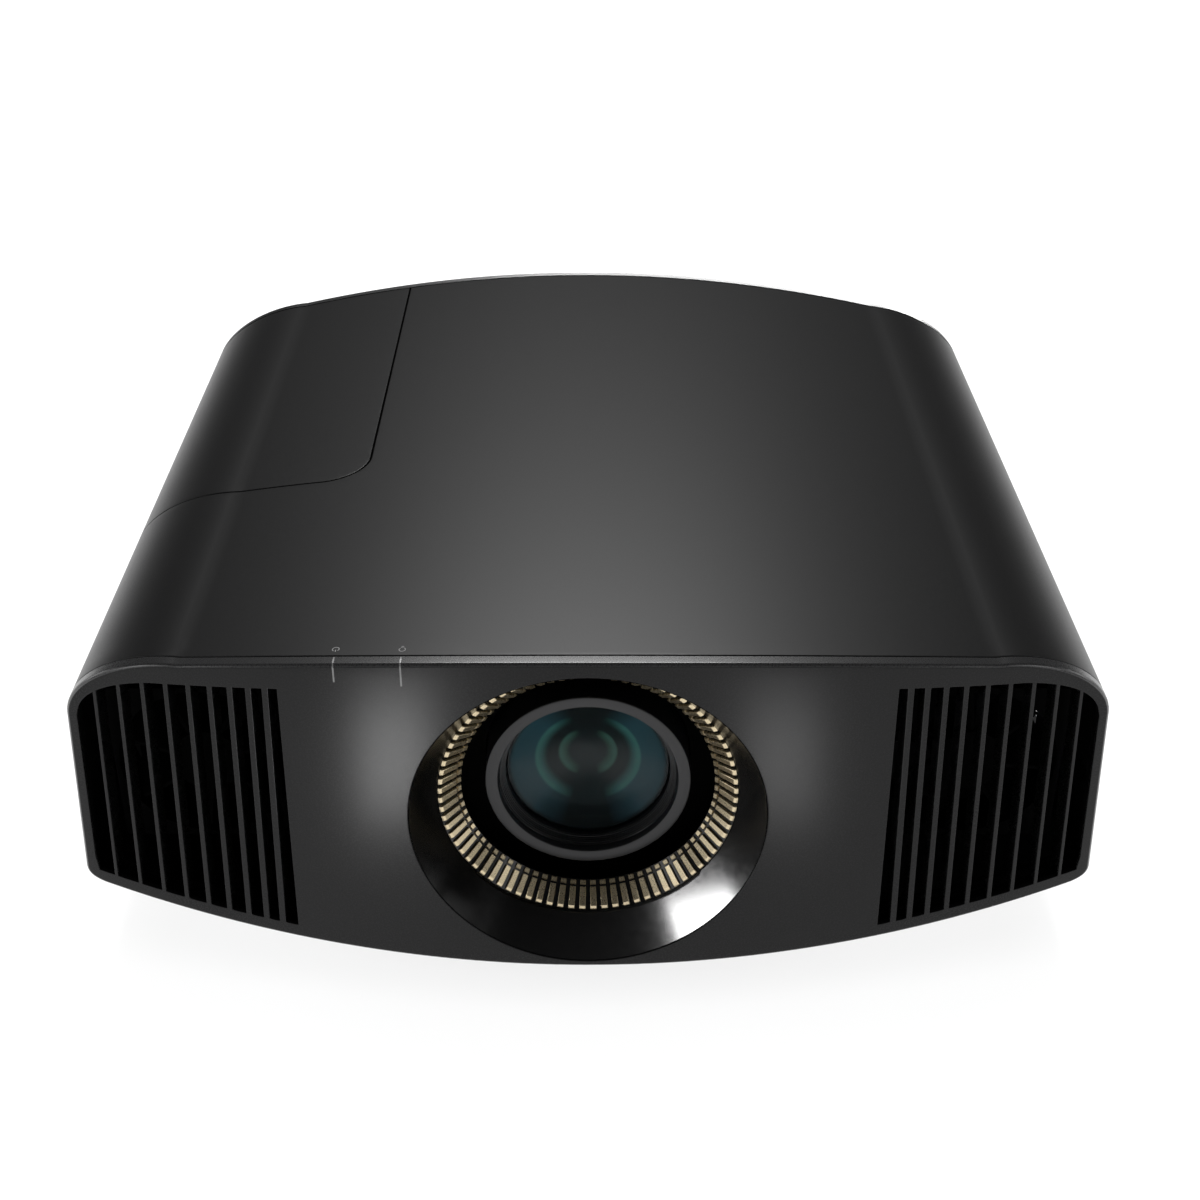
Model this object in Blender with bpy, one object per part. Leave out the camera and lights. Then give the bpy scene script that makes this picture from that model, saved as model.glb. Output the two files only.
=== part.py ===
"""Home projector, built as an assembly of separate pieces.

Blender 4.5: run with blender --background --python part.py, or from the text editor.
The frame is +Z up, the lens looks along -Y, and the origin is on the table under the middle of the body.
Sizes below are in millimetres; point() turns them into Blender's metres.
"""

import math

import bmesh
import bpy
from mathutils import Vector

MM = 0.001

# ---- driving dimensions, mm ----
DEPTH = 463.9  # front to back, at the middle
HALF_WIDTH = 247.8  # at the widest, just above the lower corner
SHOULDER_X = 242.4
SHOULDER_Z = 154.4
TOP_Z = 205.3
CROWN = 4.07e-4  # drop of the top per mm of x squared
PLAN_BOW = 5.65e-4  # how far the front and rear faces fall back per mm of x squared
CROWN_END_X = 183.7
BELLY_Z = 27.8  # underside at the middle
BELLY_RISE = 4.4e-4
CORNER_LOW_Z = 64.0  # where the side meets the lower corner
CORNER_IN_X = 237.0  # where the lower corner meets the underside
WALL = 3.0
GAP = 0.3
LIP = 6.5  # depth of the bezel's rim, from its face to the seam
PART_Z = 110.0  # parting line between the top cover and the bottom case

LENS_Z = 114.6
FUNNEL_R = 83.1
RING_OUTER_R, RING_OUTER_Y = 71.0, -208.7
RING_INNER_R, RING_INNER_Y = 60.7, -197.9
RING_TEETH = 80
ROUND_STEPS = 52

OPENING_INNER_X = 140.9
OPENING_OUTER_X = 240.3
FINS = 9
FIN_DEPTH = 15.0
SIDE_FLARE = 2.35e-4  # the sides and the fins lean out by this share of x per mm down
FLARE_Z = 120.0

SHIFT_UP, SHIFT_ACROSS = 7.5, 5.0
FOOT_X, FOOT_FRONT_Y, FOOT_REAR_Y = 140.0, -140.0, 150.0
PAN_Z = 10.0  # underside of the pan
PAN_X, PAN_FRONT_Y, PAN_REAR_Y = 165.0, -172.0, 180.0

SEAM_X, SEAM_Y, SEAM_R = -116.3, -49.0, 24.0  # the lamp cover's seam on the top
SIDE_PANEL_Y = (-85.0, 152.0)
SIDE_PANEL_Z = (66.0, 104.0)
FILTER_Y = (-130.0, -30.0)
FILTER_Z = (68.0, 102.0)
LAMP_SCREW_Y, LAMP_SCREW_Z = 150.0, 126.0
CASE_SCREW_X = 100.0  # two screws hold the chassis plate to the pan

# ---- front lights, rear panel and mains inlet, mm ----
INDICATOR_X = (-112.0, -82.0)
INDICATOR_WIDTH = 1.4
INDICATOR_LOW_Z = 191.0
REAR_SLOTS, REAR_PITCH, REAR_SLOT_HALF = 9, 13.0, 3.5
REAR_SLOT_X, REAR_SLOT_Z = 84.0, (100.0, 168.0)
INLET_X, INLET_Z = 130.0, 72.0
INLET_HALF_X, INLET_HALF_Z = 14.0, 10.0

# ---- lens and its shift stages, mm ----
BARREL_R = 53.0
REAR_TUBE_R = 38.0
COLLAR_R, COLLAR_Y = 74.0, (-175.0, -172.0)  # keeps dust out of the gold ring
CELL_R = 49.2
CELL_FRONT_Y = -198.0
GLASS_R = 39.1
GLASS_EDGE_Y = -187.4
GLASS_DOME = 9.0
FLANGE_Y = (-100.0, -94.0)
FLANGE_HALF_X, FLANGE_HALF_Z = 74.0, 57.5
VERTICAL_PLATE_Y = (-93.0, -87.0)
VERTICAL_PLATE_HALF_X, VERTICAL_PLATE_HALF_Z = 95.0, 65.0
RAIL_FRONT_Y, RAIL_IN_Z = -101.0, 58.2  # the two rails that the flange slides between
MOUNT_PLATE_Y = (-86.0, -79.0)
MOUNT_PLATE_HALF_X, MOUNT_PLATE_Z = 104.0, (16.5, 188.0)
MOUNT_WAY_X = 95.5
LIGHT_PATH_R = 52.0
SCREW_Y = -108.0
SCREW_R, SCREW_BORE_R = 3.0, 3.4
UPRIGHT_SCREW_X, UPRIGHT_SCREW_Z = 88.0, (31.0, 176.0)
SIDE_SCREW_X, SIDE_SCREW_Z = (-58.0, 40.0), 40.0
MOTOR_R = 11.0

# ---- focus and zoom drives, mm ----
FOCUS_Y = (-152.0, -142.0)
ZOOM_Y = (-128.0, -118.0)
FOCUS_ANGLE, ZOOM_ANGLE = math.radians(135.0), math.radians(45.0)
RING_GEAR_TEETH, PINION_TEETH, GEAR_MODULE = 120, 14, 1.0
TOOTHED = 25
PINION_REACH = (RING_GEAR_TEETH + PINION_TEETH) * GEAR_MODULE / 2
PINION_SHAFT_R, PINION_BORE_R = 1.5, 1.9
GEAR_MOTOR_R = 8.0

# ---- inside the casing, mm ----
CHASSIS_HALF_X, CHASSIS_Y, CHASSIS_THICK = 150.0, (-125.0, 160.0), 2.5
ENGINE_LOW, ENGINE_HIGH = (-72.0, -78.5, 16.5), (72.0, 70.0, 172.0)
LAMP_DUCT_LOW, LAMP_DUCT_HIGH = (-118.0, 20.0, 80.0), (-70.0, 66.0, 140.0)
MODULE_HALF = (12.0, 20.0, 20.0)  # deep, wide and tall
MODULE_RIBS, MODULE_RIB, MODULE_RIB_PITCH, MODULE_RIB_DEPTH = 4, 4.0, 9.0, 6.0
LAMP_LOW, LAMP_HIGH = (-230.0, -14.0, 64.0), (-122.0, 100.0, 152.0)
LAMP_HANDLE_X, LAMP_HANDLE_Z = (-190.0, -184.0), 163.0
REFLECTOR_Y, REFLECTOR_Z = 43.0, 108.0
MAIN_BOARD_X, MAIN_BOARD_Y, MAIN_BOARD_Z = (206.0, 208.0), (-80.0, 150.0), (62.0, 150.0)
MAIN_CHIPS = (
    (-40.0, 110.0, 14.0, 4.0), (10.0, 120.0, 17.0, 9.0), (60.0, 112.0, 12.0, 4.0), (110.0, 120.0, 9.0, 6.0)
)
SUPPLY_LOW, SUPPLY_HIGH = (-60.0, 108.0, 34.0), (120.0, 176.0, 36.0)
SUPPLY_PARTS = ((-35.0, 140.0, 17.0, 30.0), (10.0, 148.0, 14.0, 26.0), (92.0, 140.0, 20.0, 22.0))
CAPACITOR_X, CAPACITOR_Y, CAPACITOR_R, CAPACITOR_TOP_Z = (42.0, 60.0), 126.0, 7.0, 62.0
FAN_X, FAN_Y = 185.0, (-183.0, -158.0)
FAN_HALF, FAN_HOLE_R, HUB_R, BLADE_R = 44.0, 42.0, 17.0, 40.5
BLADES = 7
BLADE_HALF = 0.9
STRUT_HALF, STRUT_REACH = 3.0, 43.0

# ---- feet, keys and sockets, mm ----
FOOT_HOLE_R, FOOT_THREAD_R = 4.3, 4.0
PAD_R, PAD_TOP_Z = 11.0, 3.0
KNOB_Z = 3.3
PANEL_X = (236.0, 239.0)
BUTTON_Y = {"power_button": 72.0, "input_button": 88.0, "menu_button": 104.0}
BUTTON_R, BUTTON_TOP_X, BUTTON_HOLE_R = 4.5, 241.5, 5.0
PAD_Y, CONTROL_Z = 130.0, 85.0
PAD_TOP_X, ENTER_TOP_X, PAD_HOLE_R = 241.0, 241.8, 12.2
HDMI_Y, LAN_Y = (-62.0, -40.0), 5.0
HDMI_HALF, HDMI_Z = 8.0, (80.3, 88.7)
LAN_HALF, LAN_Z = 8.0, (77.3, 92.7)
SOCKET_BACK_X = 209.0


# ---- small helpers ----
def point(x, y, z):
    return Vector((x * MM, y * MM, z * MM))


def material(name, colour, roughness, metallic=0.0, alpha=1.0):
    made = bpy.data.materials.new(name)
    made.use_nodes = True
    shader = made.node_tree.nodes["Principled BSDF"]
    shader.inputs["Base Color"].default_value = (*colour, 1.0)
    shader.inputs["Roughness"].default_value = roughness
    shader.inputs["Metallic"].default_value = metallic
    shader.inputs["Alpha"].default_value = alpha
    made.diffuse_color = (*colour, alpha)
    return made


def box(mesh, low, high):
    corners = [(x, y, z) for z in (low[2], high[2]) for y in (low[1], high[1]) for x in (low[0], high[0])]
    made = [mesh.verts.new(point(*corner)) for corner in corners]
    for face in ((0, 2, 3, 1), (4, 5, 7, 6), (0, 1, 5, 4), (2, 6, 7, 3), (0, 4, 6, 2), (1, 3, 7, 5)):
        mesh.faces.new([made[i] for i in face])
    return mesh


def joined_rings(mesh, rings, closed=False):
    """Skins a list of point rings, each with the same number of points, and caps the two ends."""
    made = [[mesh.verts.new(point(*p)) for p in ring] for ring in rings]
    count = len(made[0])
    pairs = list(zip(made, made[1:]))
    if closed:
        pairs.append((made[-1], made[0]))
    for near, far in pairs:
        for i in range(count):
            j = (i + 1) % count
            mesh.faces.new((near[i], near[j], far[j], far[i]))
    if not closed:
        mesh.faces.new(made[0])
        mesh.faces.new(made[-1])
    return mesh


def prism(mesh, outline, low, high, axis="Z"):
    """An outline in the two other axes, in X, Y, Z order, drawn out along axis."""
    place = {
        "X": lambda a, b, c: (c, a, b), "Y": lambda a, b, c: (a, c, b), "Z": lambda a, b, c: (a, b, c)
    }[axis]
    return joined_rings(mesh, [[place(a, b, level) for a, b in outline] for level in (low, high)])


def circle(radius, steps, centre=(0.0, 0.0)):
    angles = [2 * math.pi * i / steps for i in range(steps)]
    return [(centre[0] + radius * math.cos(a), centre[1] + radius * math.sin(a)) for a in angles]


def rod(mesh, centre, radius, low, high, axis="Z", steps=20):
    """A round bar; centre holds its place on the two other axes."""
    return prism(mesh, circle(radius, steps, centre), low, high, axis)


def turned(mesh, profile, centre, axis="Y", steps=40):
    """Turns (radius, place along the axis) points: a ring, or a solid if the first and last lie on the axis."""
    order = {"X": (2, 0, 1), "Y": (0, 2, 1), "Z": (0, 1, 2)}[axis]
    solid = profile[0][0] == 0

    def place(radius, along, angle):
        parts = (centre[0] + radius * math.cos(angle), centre[1] + radius * math.sin(angle), along)
        return tuple(parts[k] for k in order)

    angles = [2 * math.pi * i / steps for i in range(steps)]
    line = profile[1:-1] if solid else profile
    rings = [[place(r, c, angle) for r, c in line] for angle in angles]
    if not solid:
        return joined_rings(mesh, rings, closed=True)
    poles = [mesh.verts.new(point(*place(*profile[k], 0.0))) for k in (0, -1)]
    made = [[mesh.verts.new(point(*p)) for p in ring] for ring in rings]
    for near, far in zip(made, made[1:] + made[:1]):
        mesh.faces.new((poles[0], near[0], far[0]))
        mesh.faces.new((poles[1], far[-1], near[-1]))
        for i in range(len(line) - 1):
            mesh.faces.new((near[i], near[i + 1], far[i + 1], far[i]))
    return mesh


def piece(name, mesh, skin, at=(0.0, 0.0, 0.0)):
    """Makes the object. at is its origin, which lies on the joint's axis of a moving piece."""
    bmesh.ops.recalc_face_normals(mesh, faces=mesh.faces)
    bmesh.ops.translate(mesh, verts=mesh.verts, vec=-point(*at))
    data = bpy.data.meshes.new(name)
    mesh.to_mesh(data)
    mesh.free()
    made = bpy.data.objects.new(name, data)
    bpy.context.scene.collection.objects.link(made)
    made.location = point(*at)
    if skin:
        data.materials.append(skin)
    return made


def boolean(target, mesh, operation):
    """Cuts the tool shape from the target, joins it on, or keeps what they share."""
    tool = piece(f"{target.name}_tool_{len(target.modifiers)}", mesh, None)
    tool.hide_render = True
    tool.display_type = "WIRE"
    modifier = target.modifiers.new(tool.name, "BOOLEAN")
    modifier.operation = operation
    modifier.object = tool
    return target


def cut(target, mesh):
    return boolean(target, mesh, "DIFFERENCE")


def join(target, mesh):
    return boolean(target, mesh, "UNION")


def smooth(target, degrees=35.0):
    target.data.shade_smooth()
    target.data.set_sharp_from_angle(angle=math.radians(degrees))
    return target


# ---- the body's surfaces ----
def front_y(x):
    return -DEPTH / 2 + PLAN_BOW * x * x


def rear_y(x):
    return -front_y(x)


def crown_z(x):
    return TOP_Z - CROWN * x * x


def belly_z(x):
    return BELLY_Z + BELLY_RISE * x * x


def bezier(a, b, c, d, t):
    s = 1 - t
    w = (s * s * s, 3 * s * s * t, 3 * s * t * t, t * t * t)
    return tuple(sum(k * p[i] for k, p in zip(w, (a, b, c, d))) for i in (0, 1))


def half_profile(crown_steps=7, shoulder_steps=7, corner_steps=3, belly_steps=6):
    """Points (x, z) of the body's section from the middle of the top round to the middle of the underside."""
    points = [
        (CROWN_END_X * i / crown_steps, crown_z(CROWN_END_X * i / crown_steps)) for i in range(crown_steps)
    ]
    start = (CROWN_END_X, crown_z(CROWN_END_X))
    slope = -2 * CROWN * CROWN_END_X
    lean = (HALF_WIDTH - SHOULDER_X) / (SHOULDER_Z - CORNER_LOW_Z)
    shoulder = (SHOULDER_X, SHOULDER_Z)
    handle_in, handle_down = 29.0, 19.0
    points += [
        bezier(
            start,
            (start[0] + handle_in, start[1] + slope * handle_in),
            (shoulder[0] - lean * handle_down, shoulder[1] + handle_down),
            shoulder,
            i / shoulder_steps,
        )
        for i in range(shoulder_steps)
    ]
    points.append(shoulder)
    low = (HALF_WIDTH, CORNER_LOW_Z)
    inner = (CORNER_IN_X, belly_z(CORNER_IN_X))
    points += [
        bezier(low, (HALF_WIDTH, 57.5), (243.5, 54.5), inner, i / corner_steps) for i in range(corner_steps)
    ]
    points += [
        (CORNER_IN_X * (1 - i / belly_steps), belly_z(CORNER_IN_X * (1 - i / belly_steps)))
        for i in range(belly_steps + 1)
    ]
    return points


def inset(points, depth):
    """Moves an open line of (x, z) points to its right-hand side by depth."""
    moved = []
    for i, (x, z) in enumerate(points):
        before, after = points[max(i - 1, 0)], points[min(i + 1, len(points) - 1)]
        along = Vector((after[0] - before[0], after[1] - before[1])).normalized()
        moved.append((x + along.y * depth, z - along.x * depth))
    return moved


def height_on(points, x):
    """z of a line of points at x, where x runs one way."""
    for (x0, z0), (x1, z1) in zip(points, points[1:]):
        if min(x0, x1) <= x <= max(x0, x1) and x0 != x1:
            return z0 + (z1 - z0) * (x - x0) / (x1 - x0)
    return points[-1][1]


PROFILE = half_profile()
UPPER_LINE = [p for p in PROFILE if p[1] >= CORNER_LOW_Z]
LOWER_LINE = [p for p in PROFILE if p[1] <= CORNER_LOW_Z]


def columns(margin=0.0):
    """x places across the whole width, dense where the outline turns."""
    right = sorted({round(p[0], 3) for p in UPPER_LINE + LOWER_LINE[:4]})
    right = [x for x in right if x < HALF_WIDTH - margin - 0.3]
    right.append(HALF_WIDTH - margin - 0.25)
    return [-x for x in reversed(right) if x > 0] + right


def faceplate(mesh, margin, near, far, bow, chamfer=0.0):
    """A slab with the body's outline, less margin, whose faces lie near and far behind the bowed face."""
    rings = []
    for x in columns(margin):
        reach = min(abs(x) * HALF_WIDTH / (HALF_WIDTH - margin), HALF_WIDTH)
        top = height_on(UPPER_LINE, reach) - margin
        low = height_on(LOWER_LINE, reach) + margin
        top = max(top, low + 2 * chamfer + 0.6)
        y0, y1 = bow(x, near), bow(x, far)
        edge = bow(x, near + chamfer)
        ring = [(x, edge, top), (x, y0, top - chamfer), (x, y0, low + chamfer), (x, edge, low)]
        rings.append((ring if chamfer else ring[::3]) + [(x, y1, low), (x, y1, top)])
    return joined_rings(mesh, rings)


def behind_front(x, depth):
    return front_y(x) + depth


def before_rear(x, depth):
    return rear_y(x) - depth


def shell(mesh, line, depth=WALL):
    """A wall of the body between the two seams, from an open line of (x, z) points."""
    inner = inset(line, depth)
    rings = []
    for front in (True, False):
        ring = []
        for x, z in line + inner[::-1]:
            y = front_y(x) + LIP + GAP if front else rear_y(x) - LIP - GAP
            ring.append((x, y, z))
        rings.append(ring)
    return joined_rings(mesh, rings)


def side_x(z):
    """Half width of the body where its side is straight."""
    share = (SHOULDER_Z - z) / (SHOULDER_Z - CORNER_LOW_Z)
    return SHOULDER_X + (HALF_WIDTH - SHOULDER_X) * share


# ---- louvres ----
def opening_outline(side):
    """The front opening in (x, z), on the side given by its sign."""
    top_in, top_out = (138.5, 184.6), (198.5, 180.0)
    corner = [bezier(top_out, (217.0, 177.5), (235.5, 169.5), (237.2, 155.0), i / 5) for i in range(6)]
    floor = [(x, belly_z(x) + 8.0) for x in (236.0, 215.0, 190.0, 165.0, 141.2)]
    outline = [top_in, *corner, (241.6, 68.0), (240.8, 63.5), *floor]
    return [(side * x, z) for x, z in outline]


def fin_places():
    """(middle, width) of each fin at FLARE_Z, from the outer one in; the gaps close up towards the lens."""
    places, x = [], OPENING_OUTER_X
    for i in range(FINS):
        x -= 3.8 + 6.79 * (1 - (i / FINS) ** 1.5)
        width = 1.7 + 0.17 * i
        places.append((x - width / 2, width))
        x -= width
    return places


def opening_height(x, upper):
    outline = opening_outline(1)
    line = outline[:7] if upper else outline[8:]
    return height_on(line, x)


def louvre(side):
    """Nine upright fins tied together by a rail behind the bezel at top and bottom."""
    mesh = bmesh.new()
    rails = bmesh.new()
    for upper in (True, False):
        rings = []
        for step in range(9):
            x = 141.0 + (236.0 - 141.0) * step / 8
            z = opening_height(x, upper) + (-4.5 if upper else 1.0)
            y = front_y(x) + FIN_DEPTH - 4.0
            corners = ((0.0, 0.0), (4.0, 0.0), (4.0, 3.5), (0.0, 3.5))
            rings.append([(side * x, y + dy, z + dz) for dy, dz in corners])
        joined_rings(mesh if upper else rails, rings)
    made = piece("louvre_left" if side < 0 else "louvre_right", mesh, GREY_SATIN)
    join(made, rails)
    fins = bmesh.new()
    for middle, width in fin_places():
        rings = []
        for upper in (False, True):
            z = opening_height(middle, upper)
            x = middle * (1 + SIDE_FLARE * (FLARE_Z - z))
            z = opening_height(x, upper) + (-2 if upper else 2) * GAP
            ring = []
            for dx, dy in ((-0.5, 0.4), (0.5, 0.4), (0.5, FIN_DEPTH - 1.0), (-0.5, FIN_DEPTH - 1.0)):
                at = x + dx * width
                ring.append((side * at, front_y(at) + dy, z))
            rings.append(ring)
        joined_rings(fins, rings)
    return join(made, fins)


# ---- gears ----
def gear_outline(teeth, module, first, count, centre):
    """Outer line of a gear; count teeth are cut, and the rest of the rim stays at the root radius."""
    radius = teeth * module / 2
    root, tip = radius - 1.15 * module, radius + 0.9 * module
    pitch = 2 * math.pi / teeth
    points = []
    for i in range(teeth):
        middle = first + i * pitch
        if i < count:
            steps = ((-0.27, root), (-0.12, tip), (0.12, tip), (0.27, root))
        elif i % 3 == 0:
            steps = ((0.0, root),)
        else:
            steps = ()
        points += [(middle + share * pitch, r) for share, r in steps]
    return [(centre[0] + r * math.cos(a), centre[1] + r * math.sin(a)) for a, r in points]


def ring_gear(name, low, high, mesh_angle):
    """A geared ring round the lens barrel, toothed only where its pinion runs."""
    pitch = 2 * math.pi / RING_GEAR_TEETH
    first = mesh_angle - pitch * (TOOTHED - 1) / 2
    outline = gear_outline(RING_GEAR_TEETH, GEAR_MODULE, first, TOOTHED, (0.0, LENS_Z))
    made = piece(name, prism(bmesh.new(), outline, low, high, "Y"), WHITE_RESIN, (0.0, low, LENS_Z))
    return cut(made, rod(bmesh.new(), (0.0, LENS_Z), BARREL_R + GAP, low - 1, high + 1, "Y", 40))


def pinion_place(mesh_angle):
    return (PINION_REACH * math.cos(mesh_angle), LENS_Z + PINION_REACH * math.sin(mesh_angle))


def pinion(name, low, high, mesh_angle):
    """A small gear on its shaft; a gap between its teeth faces the ring at rest."""
    centre = pinion_place(mesh_angle)
    pitch = 2 * math.pi / PINION_TEETH
    facing = mesh_angle + math.pi
    outline = gear_outline(PINION_TEETH, GEAR_MODULE, facing + pitch / 2, PINION_TEETH, centre)
    made = piece(name, prism(bmesh.new(), outline, low, high, "Y"), BRASS, (centre[0], low, centre[1]))
    return join(made, rod(bmesh.new(), centre, PINION_SHAFT_R, low + 2, high + 3.5, "Y", 12))


def gear_motor(name, front, back, mesh_angle):
    """The small can motor behind a pinion, with a hole for the pinion's shaft."""
    centre = pinion_place(mesh_angle)
    made = piece(name, rod(bmesh.new(), centre, GEAR_MOTOR_R, front, back, "Y", 20), STEEL)
    return cut(made, rod(bmesh.new(), centre, PINION_BORE_R, front - 1, front + 6, "Y", 12))


# ---- clear the scene ----
for leftover in list(bpy.data.objects):
    bpy.data.objects.remove(leftover)

CHARCOAL = material("charcoal_shell", (0.045, 0.045, 0.047), 0.42)
GREY_SATIN = material("bezel_satin", (0.05, 0.05, 0.052), 0.35)
GLOSS_BLACK = material("gloss_black", (0.004, 0.004, 0.004), 0.08)
MATT_BLACK = material("matt_black", (0.01, 0.01, 0.01), 0.6)
GOLD = material("gold_ring", (0.68, 0.55, 0.33), 0.3, 1.0)
LENS_GREY = material("lens_grey", (0.07, 0.07, 0.075), 0.35)
GLASS = material("coated_glass", (0.05, 0.16, 0.16), 0.05, 0.0, 0.35)
RUBBER = material("rubber", (0.02, 0.02, 0.02), 0.8)
STEEL = material("steel", (0.5, 0.5, 0.5), 0.35, 1.0)
ALUMINIUM = material("aluminium", (0.6, 0.6, 0.62), 0.4, 1.0)
BRASS = material("brass", (0.7, 0.5, 0.2), 0.35, 1.0)
WHITE_RESIN = material("white_resin", (0.75, 0.75, 0.72), 0.5)
BOARD_GREEN = material("circuit_board", (0.02, 0.12, 0.05), 0.5)
LIGHT_GUIDE = material("light_guide", (0.8, 0.8, 0.8), 0.3)
FOAM = material("filter_foam", (0.08, 0.08, 0.08), 0.9)


# ---- casing ----
def make_top_and_lamp_cover():
    """The crowned cover and the lamp cover, which takes its rear corner and wraps round its side."""
    side = [p for p in UPPER_LINE if p[1] > PART_Z]
    edge = (side_x(PART_Z + GAP), PART_Z + GAP)
    line = [edge, *reversed(side)] + [(-x, z) for x, z in side if x > 1e-6] + [(-edge[0], edge[1])]
    line.reverse()

    def seam_prism(spare):
        x, y = SEAM_X - spare, SEAM_Y + spare
        centre = (x - SEAM_R, y + SEAM_R)
        arc = [
            (centre[0] + SEAM_R * math.cos(a), centre[1] + SEAM_R * math.sin(a))
            for a in (math.radians(-90 + 90 * i / 6) for i in range(7))
        ]
        return prism(bmesh.new(), [(-300.0, y), *arc, (x, 300.0), (-300.0, 300.0)], 90.0, 230.0)

    cover = piece("top_cover", shell(bmesh.new(), line), CHARCOAL)
    cut(cover, seam_prism(-0.4))
    smooth(cover)
    lamp = piece("lamp_cover", shell(bmesh.new(), line), CHARCOAL, (SEAM_X, SEAM_Y, PART_Z))
    boolean(lamp, seam_prism(0.4), "INTERSECT")
    cut(lamp, rod(bmesh.new(), (LAMP_SCREW_Y, LAMP_SCREW_Z), 2.6, -260.0, -230.0, "X", 16))
    smooth(lamp)
    outer = -side_x(LAMP_SCREW_Z)
    screw = bmesh.new()
    profile = [
        (0.0, outer - 1.8), (4.2, outer - 1.4), (4.6, outer - 0.4), (2.2, outer - 0.4),
        (2.2, outer + 9.0), (0.0, outer + 9.0),
    ]
    turned(screw, profile, (LAMP_SCREW_Y, LAMP_SCREW_Z), "X", 16)
    piece("lamp_cover_screw", screw, STEEL, (outer, LAMP_SCREW_Y, LAMP_SCREW_Z))


def make_bottom_case():
    """The lower shell with its pan, foot bosses, filter door and side panel openings."""
    edge = (side_x(PART_Z - GAP), PART_Z - GAP)
    low = [(HALF_WIDTH, CORNER_LOW_Z), *[p for p in LOWER_LINE if p[1] < CORNER_LOW_Z]]
    half = [edge, *low]
    line = half + [(-x, z) for x, z in reversed(half) if x > 1e-6]
    case = piece("bottom_case", shell(bmesh.new(), line), CHARCOAL)
    draft, floor = 6.0, PAN_Z + WALL

    def pan_ring(grow, z):
        """The pan's outline at one height, or just above the belly where z is None."""
        x, y0, y1, c = PAN_X + grow, PAN_FRONT_Y - grow, PAN_REAR_Y + grow, 14.0
        plan = [
            (0.0, y0), (x / 2, y0), (x - c, y0), (x, y0 + c), (x, y1 - c), (x - c, y1), (x / 2, y1),
            (0.0, y1),
        ]
        plan += [(-a, b) for a, b in reversed(plan[1:-1])]
        return [(a, b, z or belly_z(a) + 2.0) for a, b in plan]

    join(
        case, joined_rings(bmesh.new(), [pan_ring(-draft, PAN_Z), pan_ring(0.0, 24.0), pan_ring(0.0, None)])
    )
    cut(
        case,
        joined_rings(
            bmesh.new(), [pan_ring(-draft - WALL, floor), pan_ring(-WALL, 24.0), pan_ring(-WALL, 80.0)]
        ),
    )
    bosses = bmesh.new()
    holes = bmesh.new()
    for x in (-FOOT_X, FOOT_X):
        rod(bosses, (x, FOOT_FRONT_Y), 8.0, floor - 1.0, 34.0, "Z", 16)
        rod(holes, (x, FOOT_FRONT_Y), FOOT_HOLE_R, PAN_Z - 2.0, 40.0, "Z", 16)
    for x in (-CASE_SCREW_X, CASE_SCREW_X):
        rod(holes, (x, 0.0), 2.4, PAN_Z - 2.0, 20.0, "Z", 12)
    join(case, bosses)
    box(holes, (225.0, SIDE_PANEL_Y[0], SIDE_PANEL_Z[0]), (260.0, SIDE_PANEL_Y[1], SIDE_PANEL_Z[1]))
    box(holes, (-260.0, FILTER_Y[0], FILTER_Z[0]), (-225.0, FILTER_Y[1], FILTER_Z[1]))
    cut(case, holes)
    smooth(case)


def make_front_bezel():
    """The bowed fascia with a louvre opening each side, the round lens opening and two light slots."""
    bezel = piece("front_bezel", faceplate(bmesh.new(), 0.0, 0.0, LIP, behind_front, 2.0), GREY_SATIN)
    cut(bezel, faceplate(bmesh.new(), WALL, WALL, LIP + 6.0, behind_front))
    holes = rod(bmesh.new(), (0.0, LENS_Z), FUNNEL_R, -250.0, -200.0, "Y", ROUND_STEPS)
    for side in (-1, 1):
        prism(holes, opening_outline(side), -250.0, -180.0, "Y")
    cut(bezel, holes)
    uprights, folds = bmesh.new(), bmesh.new()
    for x in INDICATOR_X:
        y, z = front_y(x), crown_z(x)
        half = INDICATOR_WIDTH / 2 + GAP
        box(uprights, (x - half, y - 2, INDICATOR_LOW_Z - GAP), (x + half, y + WALL - 0.4, z + 2))
        box(folds, (x - half, y, z - 2.4), (x + half, y + LIP + 2, z + 2))
    cut(bezel, uprights)
    cut(bezel, folds)
    smooth(bezel)


def make_indicators():
    """Two light guides that fold over the bezel's top edge."""
    for name, x in zip(("indicator_power", "indicator_warning"), INDICATOR_X):
        y, z, half = front_y(x), crown_z(x) - 0.2, INDICATOR_WIDTH / 2
        guide = piece(
            name,
            box(bmesh.new(), (x - half, y + 0.1, INDICATOR_LOW_Z), (x + half, y + 2.2, z)),
            LIGHT_GUIDE,
        )
        join(guide, box(bmesh.new(), (x - half, y + 1.0, z - 2.0), (x + half, y + LIP - 0.2, z - 0.001)))


def make_rear_panel():
    """The bowed rear cover with upright air slots each side and the mains inlet's opening."""
    panel = piece("rear_panel", faceplate(bmesh.new(), 0.0, 0.0, LIP, before_rear, 2.0), CHARCOAL)
    cut(panel, faceplate(bmesh.new(), WALL, WALL, LIP + 6.0, before_rear))
    holes = bmesh.new()
    for side in (-1, 1):
        for i in range(REAR_SLOTS):
            x = side * (REAR_SLOT_X + REAR_PITCH * i)
            low, high = (x - REAR_SLOT_HALF, 190.0, REAR_SLOT_Z[0]), (
                x + REAR_SLOT_HALF, 240.0, REAR_SLOT_Z[1]
            )
            box(holes, low, high)
    half_x, half_z = INLET_HALF_X + GAP, INLET_HALF_Z + GAP
    box(holes, (INLET_X - half_x, 190.0, INLET_Z - half_z), (INLET_X + half_x, 240.0, INLET_Z + half_z))
    cut(panel, holes)
    smooth(panel)


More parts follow.
